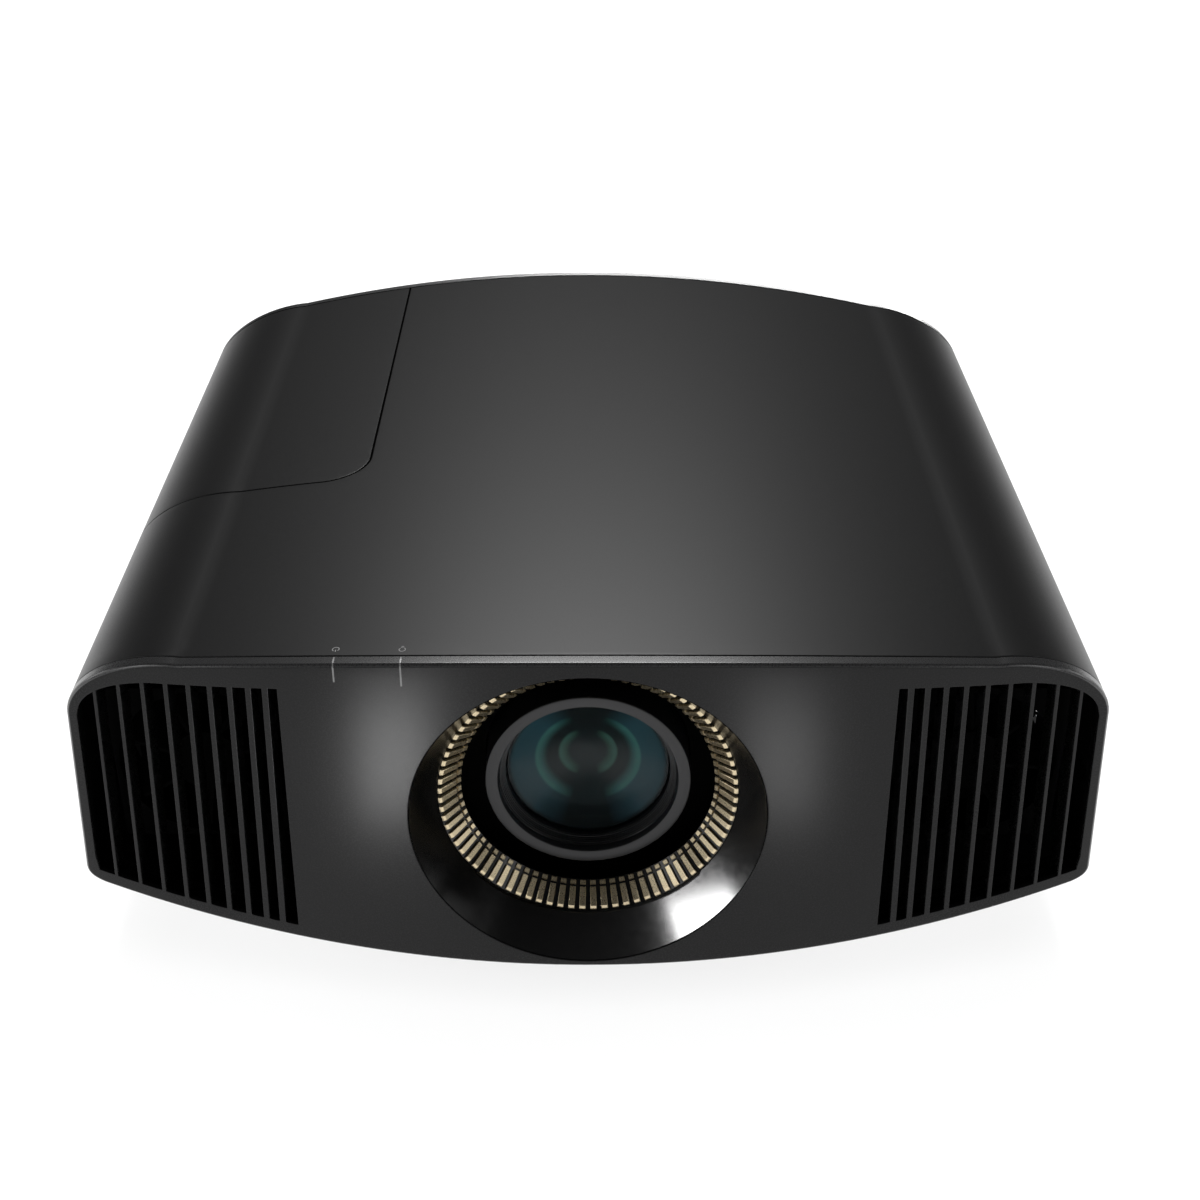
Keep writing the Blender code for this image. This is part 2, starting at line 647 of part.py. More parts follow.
def make_ac_inlet():
    """A three-pin mains inlet behind the rear panel."""
    face = rear_y(INLET_X) - 0.5
    low = (INLET_X - INLET_HALF_X, face - 27.0, INLET_Z - INLET_HALF_Z)
    high = (INLET_X + INLET_HALF_X, face, INLET_Z + INLET_HALF_Z)
    inlet = piece("ac_inlet", box(bmesh.new(), low, high), MATT_BLACK)
    wall = 2.0
    socket_low = (low[0] + wall, face - 16.0, low[2] + wall)
    socket_high = (high[0] - wall, face + 2, high[2] - wall)
    cut(inlet, box(bmesh.new(), socket_low, socket_high))
    pins = bmesh.new()
    for dx, dz in ((-7.0, -2.0), (0.0, 3.0), (7.0, -2.0)):
        low = (INLET_X + dx - 1.0, face - 18.0, INLET_Z + dz - 2.0)
        box(pins, low, (low[0] + 2.0, face - 6.0, low[2] + 4.0))
    join(inlet, pins)


# ---- lens opening ----
def make_funnel():
    """The glossy black cone from the bezel's face down to the gold ring."""
    steps, wall = ROUND_STEPS, 2.0
    rings = []
    for i in range(steps):
        angle = 2 * math.pi * i / steps
        a, b = math.cos(angle), math.sin(angle)
        rim, throat = FUNNEL_R - GAP, RING_OUTER_R + GAP
        lip_y = front_y(rim * a) + 0.4
        section = [
            (rim, lip_y),
            (throat, RING_OUTER_Y - 0.6),
            (throat, RING_OUTER_Y + 5.0),
            (throat + wall, RING_OUTER_Y + 5.0),
            (rim, lip_y + 7.0),
        ]
        rings.append([(r * a, y, LENS_Z + r * b) for r, y in section])
    funnel = piece("lens_funnel", joined_rings(bmesh.new(), rings, closed=True), GLOSS_BLACK)
    smooth(funnel)


def make_gold_ring():
    """A cone-shaped comb: teeth that point at the lens, tied by a rim at their outer end."""
    mesh = bmesh.new()
    pitch = 2 * math.pi / RING_TEETH
    across = 0.62
    thick = 2.0
    outer, inner = (RING_OUTER_R, RING_OUTER_Y), (RING_INNER_R, RING_INNER_Y)
    share = 0.12

    def along(t, depth):
        return (outer[0] + (inner[0] - outer[0]) * t, outer[1] + (inner[1] - outer[1]) * t + depth)

    def corner(angle, t, depth):
        r, y = along(t, depth)
        return mesh.verts.new(point(r * math.cos(angle), y, LENS_Z + r * math.sin(angle)))

    starts, ends = [], []
    for i in range(RING_TEETH):
        for angle, store in ((i * pitch, starts), ((i + across) * pitch, ends)):
            store.append({(t, d): corner(angle, t, d) for t in (0.0, share, 1.0) for d in (0.0, thick)})
    for i in range(RING_TEETH):
        a, b, c = starts[i], ends[i], starts[(i + 1) % RING_TEETH]
        for p, q in ((a, b), (b, c)):
            mesh.faces.new((p[0.0, 0.0], q[0.0, 0.0], q[share, 0.0], p[share, 0.0]))
            mesh.faces.new((p[share, thick], q[share, thick], q[0.0, thick], p[0.0, thick]))
            mesh.faces.new((p[0.0, thick], q[0.0, thick], q[0.0, 0.0], p[0.0, 0.0]))
        mesh.faces.new((a[share, 0.0], b[share, 0.0], b[1.0, 0.0], a[1.0, 0.0]))
        mesh.faces.new((a[1.0, thick], b[1.0, thick], b[share, thick], a[share, thick]))
        mesh.faces.new((a[1.0, 0.0], b[1.0, 0.0], b[1.0, thick], a[1.0, thick]))
        mesh.faces.new((a[share, 0.0], a[1.0, 0.0], a[1.0, thick], a[share, thick]))
        mesh.faces.new((b[1.0, 0.0], b[share, 0.0], b[share, thick], b[1.0, thick]))
        mesh.faces.new((b[share, 0.0], c[share, 0.0], c[share, thick], b[share, thick]))
    piece("gold_ring", mesh, GOLD)


# ---- lens and its shift stages ----
def make_barrel():
    """The fixed tube of the lens: dust collar, front tube, rear tube and the flange that slides sideways."""
    tube = [
        (BARREL_R, COLLAR_Y[1]), (COLLAR_R, COLLAR_Y[1]), (COLLAR_R, COLLAR_Y[0]), (
            CELL_R + 1.0, COLLAR_Y[0]
        ),
        (CELL_R + 1.0, -112.0), (REAR_TUBE_R, -112.0), (REAR_TUBE_R, -62.0), (REAR_TUBE_R + WALL, -62.0),
        (REAR_TUBE_R + WALL, FLANGE_Y[1] - 1.0), (BARREL_R, FLANGE_Y[1] - 1.0),
    ]
    barrel = piece("lens_barrel", turned(bmesh.new(), tube, (0.0, LENS_Z)), MATT_BLACK)
    x, low, high = FLANGE_HALF_X, LENS_Z - FLANGE_HALF_Z, LENS_Z + FLANGE_HALF_Z
    join(barrel, prism(bmesh.new(), [(-x, low), (x, low), (x, high), (-x, high)], *FLANGE_Y, "Y"))
    join(barrel, box(bmesh.new(), (-8.0, -114.0, 58.0), (8.0, FLANGE_Y[0] + 1.0, 61.0)))
    join(barrel, box(bmesh.new(), (-8.0, -114.0, SIDE_SCREW_Z - 6.0), (8.0, -102.0, 60.0)))
    bores = rod(bmesh.new(), (0.0, LENS_Z), REAR_TUBE_R, -111.0, -60.0, "Y", 40)
    rod(bores, (SCREW_Y, SIDE_SCREW_Z), SCREW_BORE_R, -12.0, 12.0, "X", 16)
    cut(barrel, bores)
    smooth(barrel)


def make_front_cell():
    """The focusing cell, whose grey front ring is what shows, and the glass that it holds."""
    section = [
        (CELL_R, CELL_FRONT_Y + 1.0), (CELL_R - 1.0, CELL_FRONT_Y), (43.4, CELL_FRONT_Y + 0.6), (
            42.9, CELL_FRONT_Y + 4.0
        ),
        (40.6, CELL_FRONT_Y + 5.2), (GLASS_R + 0.4, GLASS_EDGE_Y - 1.0), (GLASS_R + 0.4, -158.0), (
            CELL_R, -158.0
        ),
    ]
    cell = piece(
        "front_lens_cell",
        turned(bmesh.new(), section, (0.0, LENS_Z)),
        LENS_GREY,
        (0.0, CELL_FRONT_Y, LENS_Z),
    )
    smooth(cell)
    front = [(GLASS_R * i / 5, GLASS_EDGE_Y - GLASS_DOME * (1 - (i / 5) ** 2)) for i in range(6)]
    back = [(GLASS_R, -172.0), (0.0, -168.0)]
    mesh = turned(bmesh.new(), front + back, (0.0, LENS_Z), "Y", 36)
    smooth(piece("front_lens_glass", mesh, GLASS, (0.0, CELL_FRONT_Y, LENS_Z)))


def make_zoom_group():
    """The zooming lens group, a cell with its glass, inside the barrel's rear tube."""
    profile = [
        (0.0, -104.0), (20.0, -102.6), (30.0, -100.4), (37.4, -100.4), (37.4, -84.0), (30.0, -84.0),
        (0.0, -80.0),
    ]
    mesh = turned(bmesh.new(), profile, (0.0, LENS_Z), "Y", 32)
    smooth(piece("zoom_lens_group", mesh, GLASS, (0.0, -100.4, LENS_Z)))


def make_lens_drives():
    ring_gear("focus_ring", *FOCUS_Y, FOCUS_ANGLE)
    pinion("focus_pinion", FOCUS_Y[0] + 1, FOCUS_Y[1] - 1, FOCUS_ANGLE)
    gear_motor("focus_motor", FOCUS_Y[1] + 0.5, FLANGE_Y[0] - GAP, FOCUS_ANGLE)
    ring_gear("zoom_ring", *ZOOM_Y, ZOOM_ANGLE)
    pinion("zoom_pinion", ZOOM_Y[0] + 1, ZOOM_Y[1] - 1, ZOOM_ANGLE)
    gear_motor("zoom_motor", ZOOM_Y[1] + 0.5, FLANGE_Y[0] - GAP, ZOOM_ANGLE)


def make_shift_stages():
    """The plate that rises and falls, and the fixed mount plate that guides it."""
    front, back = VERTICAL_PLATE_Y
    x, z = VERTICAL_PLATE_HALF_X, VERTICAL_PLATE_HALF_Z
    plate = piece(
        "vertical_shift_plate", box(bmesh.new(), (-x, front, LENS_Z - z), (x, back, LENS_Z + z)), ALUMINIUM
    )
    rails = bmesh.new()
    box(rails, (-86.0, RAIL_FRONT_Y, LENS_Z + RAIL_IN_Z), (80.0, front + 1, LENS_Z + z))
    box(rails, (-86.0, RAIL_FRONT_Y, LENS_Z - z), (80.0, front + 1, LENS_Z - RAIL_IN_Z))
    join(plate, rails)
    join(
        plate, box(bmesh.new(), (-80.0, -96.7, SIDE_SCREW_Z - 12.0), (-54.0, front + 0.5, LENS_Z - z + 1.0))
    )
    join(plate, box(bmesh.new(), (81.5, -115.0, LENS_Z - 9.0), (x, front + 1, LENS_Z + 9.0)))
    bores = rod(bmesh.new(), (0.0, LENS_Z), 47.0, -130.0, -70.0, "Y", 40)
    rod(bores, (UPRIGHT_SCREW_X, SCREW_Y), SCREW_BORE_R, LENS_Z - 12, LENS_Z + 12, "Z", 16)
    cut(plate, bores)

    x, (low, high) = MOUNT_PLATE_HALF_X, MOUNT_PLATE_Z
    slab = box(bmesh.new(), (-x, MOUNT_PLATE_Y[0], low), (x, MOUNT_PLATE_Y[1], high))
    mount = piece("lens_mount_plate", slab, ALUMINIUM)
    ways = bmesh.new()
    for side in (-1, 1):
        x0, x1 = sorted((side * MOUNT_WAY_X, side * x))
        box(ways, (x0, front - 3.0, 30.0), (x1, MOUNT_PLATE_Y[0] + 1.0, high))
    join(mount, ways)
    cut(mount, rod(bmesh.new(), (0.0, LENS_Z), LIGHT_PATH_R, -100.0, -70.0, "Y", 40))


def make_lead_screw(name, place, reach, axis, motor_reach):
    """A lead screw and the can motor that its driven end runs into; the motor covers motor_reach."""
    bar = rod(bmesh.new(), place, SCREW_R, *reach, axis, 16)
    origin = (place[0], place[1], reach[0]) if axis == "Z" else (reach[0], *place)
    smooth(piece(f"{name}_lead_screw", bar, STEEL, origin))
    motor = piece(f"{name}_shift_motor", rod(bmesh.new(), place, MOTOR_R, *motor_reach, axis, 20), STEEL)
    cut(motor, rod(bmesh.new(), place, SCREW_BORE_R, reach[0] - 1.0, motor_reach[1] + 1.0, axis, 16))


# ---- inside ----
def make_engine():
    """The chassis plate, the optical engine and its three panel modules."""
    floor = PAN_Z + WALL
    low = (-CHASSIS_HALF_X, CHASSIS_Y[0], floor + GAP)
    high = (CHASSIS_HALF_X, CHASSIS_Y[1], floor + GAP + CHASSIS_THICK)
    chassis = piece("chassis_plate", box(bmesh.new(), low, high), ALUMINIUM)
    holes = bmesh.new()
    for x in (-CASE_SCREW_X, CASE_SCREW_X):
        rod(holes, (x, 0.0), 2.4, 5.0, 30.0, "Z", 12)
    cut(chassis, holes)
    engine = piece("optical_engine", box(bmesh.new(), ENGINE_LOW, ENGINE_HIGH), MATT_BLACK)
    cut(engine, rod(bmesh.new(), (0.0, LENS_Z), LIGHT_PATH_R, -90.0, -30.0, "Y", 40))
    join(engine, box(bmesh.new(), LAMP_DUCT_LOW, LAMP_DUCT_HIGH))
    deep, wide, tall = MODULE_HALF
    for name, centre, along in (
        ("panel_module_red", (88.0, 0.0, LENS_Z), "X"),
        ("panel_module_green", (0.0, 86.0, LENS_Z), "Y"),
        ("panel_module_blue", (88.0, 44.0, LENS_Z), "X"),
    ):
        half = (deep, wide, tall) if along == "X" else (wide, deep, tall)
        low = [c - h for c, h in zip(centre, half)]
        high = [c + h for c, h in zip(centre, half)]
        module = piece(name, box(bmesh.new(), low, high), ALUMINIUM)
        ribs = bmesh.new()
        for i in range(MODULE_RIBS):
            at = low[2] + 7.0 + MODULE_RIB_PITCH * i
            start = (high[0] - MODULE_RIB_DEPTH, low[1] - 1) if along == "X" else (
                low[0] - 1, high[1] - MODULE_RIB_DEPTH
            )
            box(ribs, (*start, at), (high[0] + 1, high[1] + 1, at + MODULE_RIB))
        cut(module, ribs)


def make_lamp():
    """The lamp housing under the lamp cover, open towards the engine, and its reflector."""
    housing = piece("lamp_housing", box(bmesh.new(), LAMP_LOW, LAMP_HIGH), MATT_BLACK)
    hollow_low = (LAMP_LOW[0] + 4.0, LAMP_LOW[1] + 10.0, LAMP_LOW[2] + 6.0)
    hollow_high = (LAMP_HIGH[0] + 12.0, LAMP_HIGH[1] - 10.0, LAMP_HIGH[2] - 6.0)
    cut(housing, box(bmesh.new(), hollow_low, hollow_high))
    x0, x1 = LAMP_HANDLE_X
    handle = bmesh.new()
    for y in (20.0, 62.0):
        box(handle, (x0, y, LAMP_HIGH[2] - 1.0), (x1, y + 4.0, LAMP_HANDLE_Z))
    join(housing, handle)
    join(housing, box(bmesh.new(), (x0, 18.0, LAMP_HANDLE_Z - 4.0), (x1, 68.0, LAMP_HANDLE_Z)))
    reflector = bmesh.new()
    bowl = [
        (6.0, -196.0), (20.0, -188.0), (30.0, -170.0), (34.0, -146.0), (36.5, -146.0), (32.5, -171.0),
        (22.0, -190.5), (6.0, -199.0),
    ]
    turned(reflector, bowl, (REFLECTOR_Y, REFLECTOR_Z), "X", 24)
    smooth(piece("lamp_reflector", reflector, ALUMINIUM))


def make_boards():
    """The main board behind the side panel and the power supply at the rear."""
    x0, x1 = MAIN_BOARD_X
    low, high = (x0, MAIN_BOARD_Y[0], MAIN_BOARD_Z[0]), (x1, MAIN_BOARD_Y[1], MAIN_BOARD_Z[1])
    main = piece("main_board", box(bmesh.new(), low, high), BOARD_GREEN)
    chips = bmesh.new()
    for y, z, half, tall in MAIN_CHIPS:
        box(chips, (x0 + 0.5 - tall, y - half, z - half), (x0 + 0.5, y + half, z + half))
    join(main, chips)
    supply = piece("power_supply_board", box(bmesh.new(), SUPPLY_LOW, SUPPLY_HIGH), BOARD_GREEN)
    parts = bmesh.new()
    base = SUPPLY_LOW[2] + 1.0
    for x, y, half, tall in SUPPLY_PARTS:
        box(parts, (x - half, y - half, base), (x + half, y + half, base + tall))
    for x in CAPACITOR_X:
        rod(parts, (x, CAPACITOR_Y), CAPACITOR_R, base, CAPACITOR_TOP_Z, "Z", 16)
    join(supply, parts)


def make_fan(side):
    """An axial fan behind a louvre: the frame with its motor seat, and the bladed wheel."""
    name = "left" if side < 0 else "right"
    x = side * FAN_X
    front, back = FAN_Y
    low, high = (x - FAN_HALF, front, LENS_Z - FAN_HALF), (x + FAN_HALF, back, LENS_Z + FAN_HALF)
    frame = piece(f"fan_frame_{name}", box(bmesh.new(), low, high), MATT_BLACK)
    cut(frame, rod(bmesh.new(), (x, LENS_Z), FAN_HOLE_R, front - 1, back + 1, "Y", 32))
    seat = rod(bmesh.new(), (x, LENS_Z), HUB_R, back - 4.0, back, "Y", 24)
    join(frame, seat)
    for dx, dz in ((STRUT_HALF, STRUT_REACH), (STRUT_REACH, STRUT_HALF)):
        join(frame, box(bmesh.new(), (x - dx, back - 3.5, LENS_Z - dz), (x + dx, back - 0.5, LENS_Z + dz)))
    smooth(frame)
    hub = rod(bmesh.new(), (x, LENS_Z), HUB_R, front + 2.0, back - 5.0, "Y", 24)
    wheel = piece(f"fan_impeller_{name}", hub, MATT_BLACK, (x, back - 5.0, LENS_Z))
    blades = bmesh.new()
    for i in range(BLADES):
        spoke = 2 * math.pi * i / BLADES
        rings = []
        for radius, twist in ((HUB_R - 2.0, 0.50), (BLADE_R, 0.30)):
            ring = []
            for share, y in ((-0.5, front + 3.5), (0.5, back - 6.5)):
                for thick in (-BLADE_HALF, BLADE_HALF):
                    angle = spoke + side * twist * share + thick / radius
                    ring.append((x + radius * math.cos(angle), y, LENS_Z + radius * math.sin(angle)))
            rings.append([ring[0], ring[1], ring[3], ring[2]])
        joined_rings(blades, rings)
    join(wheel, blades)


# ---- feet, side panel and controls ----
def make_feet():
    """Two front feet that screw up and down, each on a rubber pad, and two fixed rubber rear feet."""
    for side, name in ((-1, "left"), (1, "right")):
        x = side * FOOT_X
        knob = [(0.0, KNOB_Z), (12.0, KNOB_Z), (14.0, 4.5), (14.0, 8.2), (12.5, 9.2), (FOOT_THREAD_R, 9.2)]
        knob += [(FOOT_THREAD_R, 39.0), (FOOT_THREAD_R - 0.6, 40.0), (0.0, 40.0)]
        screw = turned(bmesh.new(), knob, (x, FOOT_FRONT_Y), "Z", 16)
        smooth(piece(f"front_foot_{name}", screw, MATT_BLACK, (x, FOOT_FRONT_Y, KNOB_Z)))
        pad = rod(bmesh.new(), (x, FOOT_FRONT_Y), PAD_R, 0.0, PAD_TOP_Z, "Z", 20)
        smooth(piece(f"front_foot_{name}_pad", pad, RUBBER, (x, FOOT_FRONT_Y, 0.0)))
        rear = [(0.0, 0.0), (11.5, 0.0), (13.0, 9.7), (0.0, 9.7)]
        smooth(piece(f"rear_foot_{name}", turned(bmesh.new(), rear, (x, FOOT_REAR_Y), "Z", 20), RUBBER))
        low = [(0.0, 7.6), (3.6, 7.6), (4.2, 9.6), (2.0, 9.6), (2.0, 24.0), (0.0, 24.0)]
        smooth(
            piece(
                f"case_screw_{name}", turned(bmesh.new(), low, (side * CASE_SCREW_X, 0.0), "Z", 12), STEEL
            ),
        )


def make_side_panel():
    """The recessed panel of sockets and keys on the right side, with its sockets."""
    x0, x1 = PANEL_X
    y0, y1 = SIDE_PANEL_Y
    z0, z1 = SIDE_PANEL_Z
    slab = box(bmesh.new(), (x0, y0 + GAP, z0 + GAP), (x1, y1 - GAP, z1 - GAP))
    plate = piece("connector_panel", slab, MATT_BLACK)
    holes = bmesh.new()
    for y in HDMI_Y:
        box(
            holes,
            (x0 - 1, y - HDMI_HALF - GAP, HDMI_Z[0] - GAP),
            (x1 + 1, y + HDMI_HALF + GAP, HDMI_Z[1] + GAP),
        )
    box(
        holes,
        (x0 - 1, LAN_Y - LAN_HALF - GAP, LAN_Z[0] - GAP),
        (x1 + 1, LAN_Y + LAN_HALF + GAP, LAN_Z[1] + GAP),
    )
    for y in BUTTON_Y.values():
        rod(holes, (y, CONTROL_Z), BUTTON_HOLE_R, x0 - 1, x1 + 1, "X", 20)
    rod(holes, (PAD_Y, CONTROL_Z), PAD_HOLE_R, x0 - 1, x1 + 1, "X", 28)
    cut(plate, holes)

    low = (x1 - 14.0, HDMI_Y[0] - HDMI_HALF, HDMI_Z[0])
    blocks = piece(
        "hdmi_socket_pair", box(bmesh.new(), low, (x1 + 0.5, HDMI_Y[1] + HDMI_HALF, HDMI_Z[1])), STEEL
    )
    join(
        blocks, box(bmesh.new(), (SOCKET_BACK_X, HDMI_Y[0] - 6.0, 81.5), (x1 - 13.0, HDMI_Y[1] + 6.0, 87.5))
    )
    hollow = bmesh.new()
    box(hollow, (x0 - 0.6, HDMI_Y[0] + 7.95, 79.0), (x1 + 2.0, HDMI_Y[1] - 7.95, 90.0))
    for y in HDMI_Y:
        box(hollow, (x1 - 10.0, y - 7.0, 82.0), (x1 + 2.0, y + 7.0, 87.2))
    cut(blocks, hollow)

    low, high = (SOCKET_BACK_X, LAN_Y - LAN_HALF, LAN_Z[0]), (x1 + 0.5, LAN_Y + LAN_HALF, LAN_Z[1])
    lan = piece("lan_socket", box(bmesh.new(), low, high), STEEL)
    cut(lan, box(bmesh.new(), (x1 - 13.0, LAN_Y - 6.0, 80.0), (x1 + 2.0, LAN_Y + 6.0, 90.0)))


def key(name, y, z, radius, top):
    """A round key cap with a stem and a flange behind the panel."""
    x0 = PANEL_X[0]
    flange = radius + 1.0
    section = [(0.0, top), (radius - 0.6, top), (radius, top - 0.6), (radius, x0 - 1.2)]
    section += [(flange, x0 - 1.2), (flange, x0 - 2.2), (0.0, x0 - 2.2)]
    return smooth(piece(name, turned(bmesh.new(), section, (y, z), "X", 16), MATT_BLACK, (top, y, z)))


def make_controls():
    """Three round keys, and a rocking direction pad with the enter key at its middle."""
    for name, y in BUTTON_Y.items():
        key(name, y, CONTROL_Z, BUTTON_R, BUTTON_TOP_X)
    x0 = PANEL_X[0]
    ring = [(5.4, PAD_TOP_X), (10.6, PAD_TOP_X), (11.4, PAD_TOP_X - 0.8), (11.4, x0 - 1.5), (5.4, x0 - 1.5)]
    rocker = turned(bmesh.new(), ring, (PAD_Y, CONTROL_Z), "X", 28)
    smooth(piece("direction_pad", rocker, MATT_BLACK, (x0, PAD_Y, CONTROL_Z)))
    enter = [
        (0.0, ENTER_TOP_X), (4.2, ENTER_TOP_X), (4.8, ENTER_TOP_X - 0.6), (4.8, x0 - 1.5), (0.0, x0 - 1.5)
    ]
    cap = turned(bmesh.new(), enter, (PAD_Y, CONTROL_Z), "X", 20)
    smooth(piece("enter_button", cap, MATT_BLACK, (ENTER_TOP_X, PAD_Y, CONTROL_Z)))


def make_filter():
    """The filter door on the left side, with its foam behind it; they pull out together."""
    (y0, y1), (z0, z1) = FILTER_Y, FILTER_Z
    outer = side_x(z1) - 1.2
    slab = box(bmesh.new(), (-outer, y0 + 0.5, z0 + 0.5), (-outer + WALL, y1 - 0.5, z1 - 0.5))
    door = piece("filter_cover", slab, CHARCOAL, (-outer, y0, z0))
    slots = bmesh.new()
    for i in range(15):
        y = y0 + 11.0 + 5.6 * i
        box(slots, (-outer - 1, y - 1.3, z0 + 6.0), (-outer + 4.0, y + 1.3, z1 - 6.0))
    cut(door, slots)
    foam = box(bmesh.new(), (-outer + WALL + GAP, y0 + 2.0, z0 + 2.0), (-outer + 11.0, y1 - 2.0, z1 - 2.0))
    piece("air_filter", foam, FOAM, (-outer, y0, z0))


make_top_and_lamp_cover()
make_bottom_case()
make_front_bezel()
make_indicators()
make_rear_panel()
make_ac_inlet()
for hand in (-1, 1):
    louvre(hand)
make_funnel()
make_gold_ring()
make_barrel()
make_front_cell()
make_zoom_group()
make_lens_drives()
make_shift_stages()
make_lead_screw("vertical", (UPRIGHT_SCREW_X, SCREW_Y), UPRIGHT_SCREW_Z, "Z", (16.6, 38.0))
make_lead_screw("horizontal", (SCREW_Y, SIDE_SCREW_Z), SIDE_SCREW_X, "X", (-80.0, -54.0))
make_engine()
make_lamp()
make_boards()
for hand in (-1, 1):
    make_fan(hand)
make_feet()
make_side_panel()
make_controls()
make_filter()
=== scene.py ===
"""The looks of the home projector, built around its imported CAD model.

Sizes are in millimetres unless said otherwise; point() turns them into Blender's metres.
Fine shells replace the faceted CAD shells, and the inner pieces keep their CAD shapes.
"""

import math

import bmesh
import bpy
import numpy as np
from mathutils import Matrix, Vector
from mathutils.geometry import delaunay_2d_cdt


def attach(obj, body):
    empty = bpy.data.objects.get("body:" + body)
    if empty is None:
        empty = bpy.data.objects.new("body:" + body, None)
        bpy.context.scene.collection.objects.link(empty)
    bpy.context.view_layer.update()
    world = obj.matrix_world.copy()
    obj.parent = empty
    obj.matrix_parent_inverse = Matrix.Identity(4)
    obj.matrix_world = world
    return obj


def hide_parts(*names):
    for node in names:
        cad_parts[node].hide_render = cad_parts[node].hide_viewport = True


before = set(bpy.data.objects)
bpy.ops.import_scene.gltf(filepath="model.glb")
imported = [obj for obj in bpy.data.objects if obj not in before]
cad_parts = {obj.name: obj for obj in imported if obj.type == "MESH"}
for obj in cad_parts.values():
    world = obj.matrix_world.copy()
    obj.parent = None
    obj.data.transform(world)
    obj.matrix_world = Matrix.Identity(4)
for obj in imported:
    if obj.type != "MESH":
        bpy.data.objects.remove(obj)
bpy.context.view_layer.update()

MM = 0.001

# ---- the body's driving dimensions, as in the CAD ----
DEPTH = 463.9
HALF_WIDTH = 247.8
SHOULDER_X, SHOULDER_Z = 242.4, 154.4
TOP_Z, CROWN, CROWN_END_X = 205.3, 4.07e-4, 183.65
SHOULDER_POWER = 1.86
PLAN_BOW = 5.65e-4
BELLY_Z, BELLY_RISE = 27.8, 4.4e-4
CORNER_LOW_Z, CORNER_IN_X = 61.5, 239.0
LIP, SEAM = 6.5, 0.45
PART_Z = 110.0
LENS_Z = 114.6
FUNNEL_R = 83.1
RING_OUTER_R, RING_OUTER_Y = 71.0, -208.7
RING_INNER_R, RING_INNER_Y = 60.7, -197.9
RING_TEETH = 80
FINS = 9
FLARE_Z, SIDE_FLARE = 120.0, 2.35e-4
LAMP_SEAM_X, LAMP_SEAM_Y, LAMP_SEAM_R = -116.3, -49.0, 24.0
SIDE_PANEL_Y, SIDE_PANEL_Z = (-85.0, 152.0), (66.0, 104.0)
FILTER_Y, FILTER_Z = (-130.0, -30.0), (68.0, 102.0)
INLET_X, INLET_Z = 130.0, 72.0
PAN_X, PAN_FRONT_Y, PAN_REAR_Y, PAN_Z, PAN_DRAFT = 165.0, -172.0, 180.0, 10.0, 6.0
PAN_FLARE_DEPTH = 14.0  # over which the pan's wall flares out

# ---- casing details ----
COVER_EDGE = LIP + 2 * SEAM  # how far the shells start behind the front and rear faces
FACE_EDGE = 1.8  # rounding of the faces' outer edges
FLOOR_RISE = 8.0  # from the body's lower edge to the louvre opening's floor
BLADE_DEPTH = 15.0
INDICATOR_X, INDICATOR_LOW_Z, GUIDE_WIDTH = (-112.0, -82.0), 191.0, 0.7
REAR_SLOTS = [side * (84.0 + 13.0 * i) for side in (-1, 1) for i in range(9)]
REAR_SLOT_HALF, REAR_SLOT_Z = 3.5, (100.0, 168.0)
INLET_HALF_X, INLET_HALF_Z = 14.3, 10.3
SCREW_HEAD_R, SCREW_PLACE_Y, SCREW_Z = 4.6, 150.0, 126.0
CASE_SCREW_X = 100.0
FOOT_X, FOOT_FRONT_Y, FOOT_REAR_Y, FOOT_SHANK_R = 140.0, -140.0, 150.0, 4.0
PAN_VENTS, PAN_VENT_Y, PAN_VENT_STEP, PAN_VENT_X = 12, 40.0, 7.0, (60.0, 120.0)

# ---- lens details ----
TOOTH_HEIGHT, TOOTH_GAP_START, TOOTH_GAP_END, TOOTH_SHARE = 1.2, 11.3, 12.0, 0.60
CELL_FRONT_Y, GLASS_EDGE_Y, GLASS_R, GLASS_DOME = -197.9, -187.4, 39.1, 9.0
BOWL_Y, BOWL_BACK_Y, BOWL_DEPTH = -171.0, -166.0, 14.5

# ---- side panel ----
PANEL_BACK_X = 236.0
KEY_Y = {"power_button": 72.0, "input_button": 88.0, "menu_button": 104.0}
KEY_Z, KEY_R, KEY_TOP, PAD_Y, PAD_TOP, ENTER_TOP = 85.0, 4.5, 241.5, 130.0, 241.0, 241.8
HDMI_Y, LAN_Y, LAN_WIRES, LAN_PITCH = (-62.0, -40.0), 5.0, 8, 1.02

# ---- floor, camera and lights ----
FLOOR_HALF, FLOOR_Z = 6000.0, -0.4
CAMERA_PLACE, CAMERA_TILT = (0.0, -852.35, 623.95), 58.12
SENSOR, LENS_LENGTH, LENS_SHIFT = 36.0, 51.83, 0.01
WASH_STRENGTH, WORLD_STRENGTH = 3.2, 0.06
BACK_WATTS, REAR_WATTS, FLANK_WATTS, FUNNEL_WATTS = 25.0, 60.0, 6.0, 12.0
GLOW_WATTS = {"left": 0.25, "right": 0.11}
SIDE_WATTS = {"left": 3.0, "right": 2.0}


def point(x, y, z):
    return Vector((x * MM, y * MM, z * MM))


def nodes_of(name):
    made = bpy.data.materials.new(name)
    made.use_nodes = True
    tree = made.node_tree
    return made, tree, tree.nodes["Principled BSDF"]


def link(tree, source, target):
    tree.links.new(source, target)


def settle(node, **values):
    """Sets a node's input sockets; a space in a socket's name is written as an underscore."""
    for key, value in values.items():
        node.inputs[key.replace("_", " ")].default_value = value


def calc(tree, operation, *values):
    """The result of a Math node whose inputs are other nodes' outputs or numbers."""
    node = tree.nodes.new("ShaderNodeMath")
    node.operation = operation
    for socket, value in zip(node.inputs, values):
        if isinstance(value, float):
            socket.default_value = value
        else:
            link(tree, value, socket)
    return node.outputs[0]


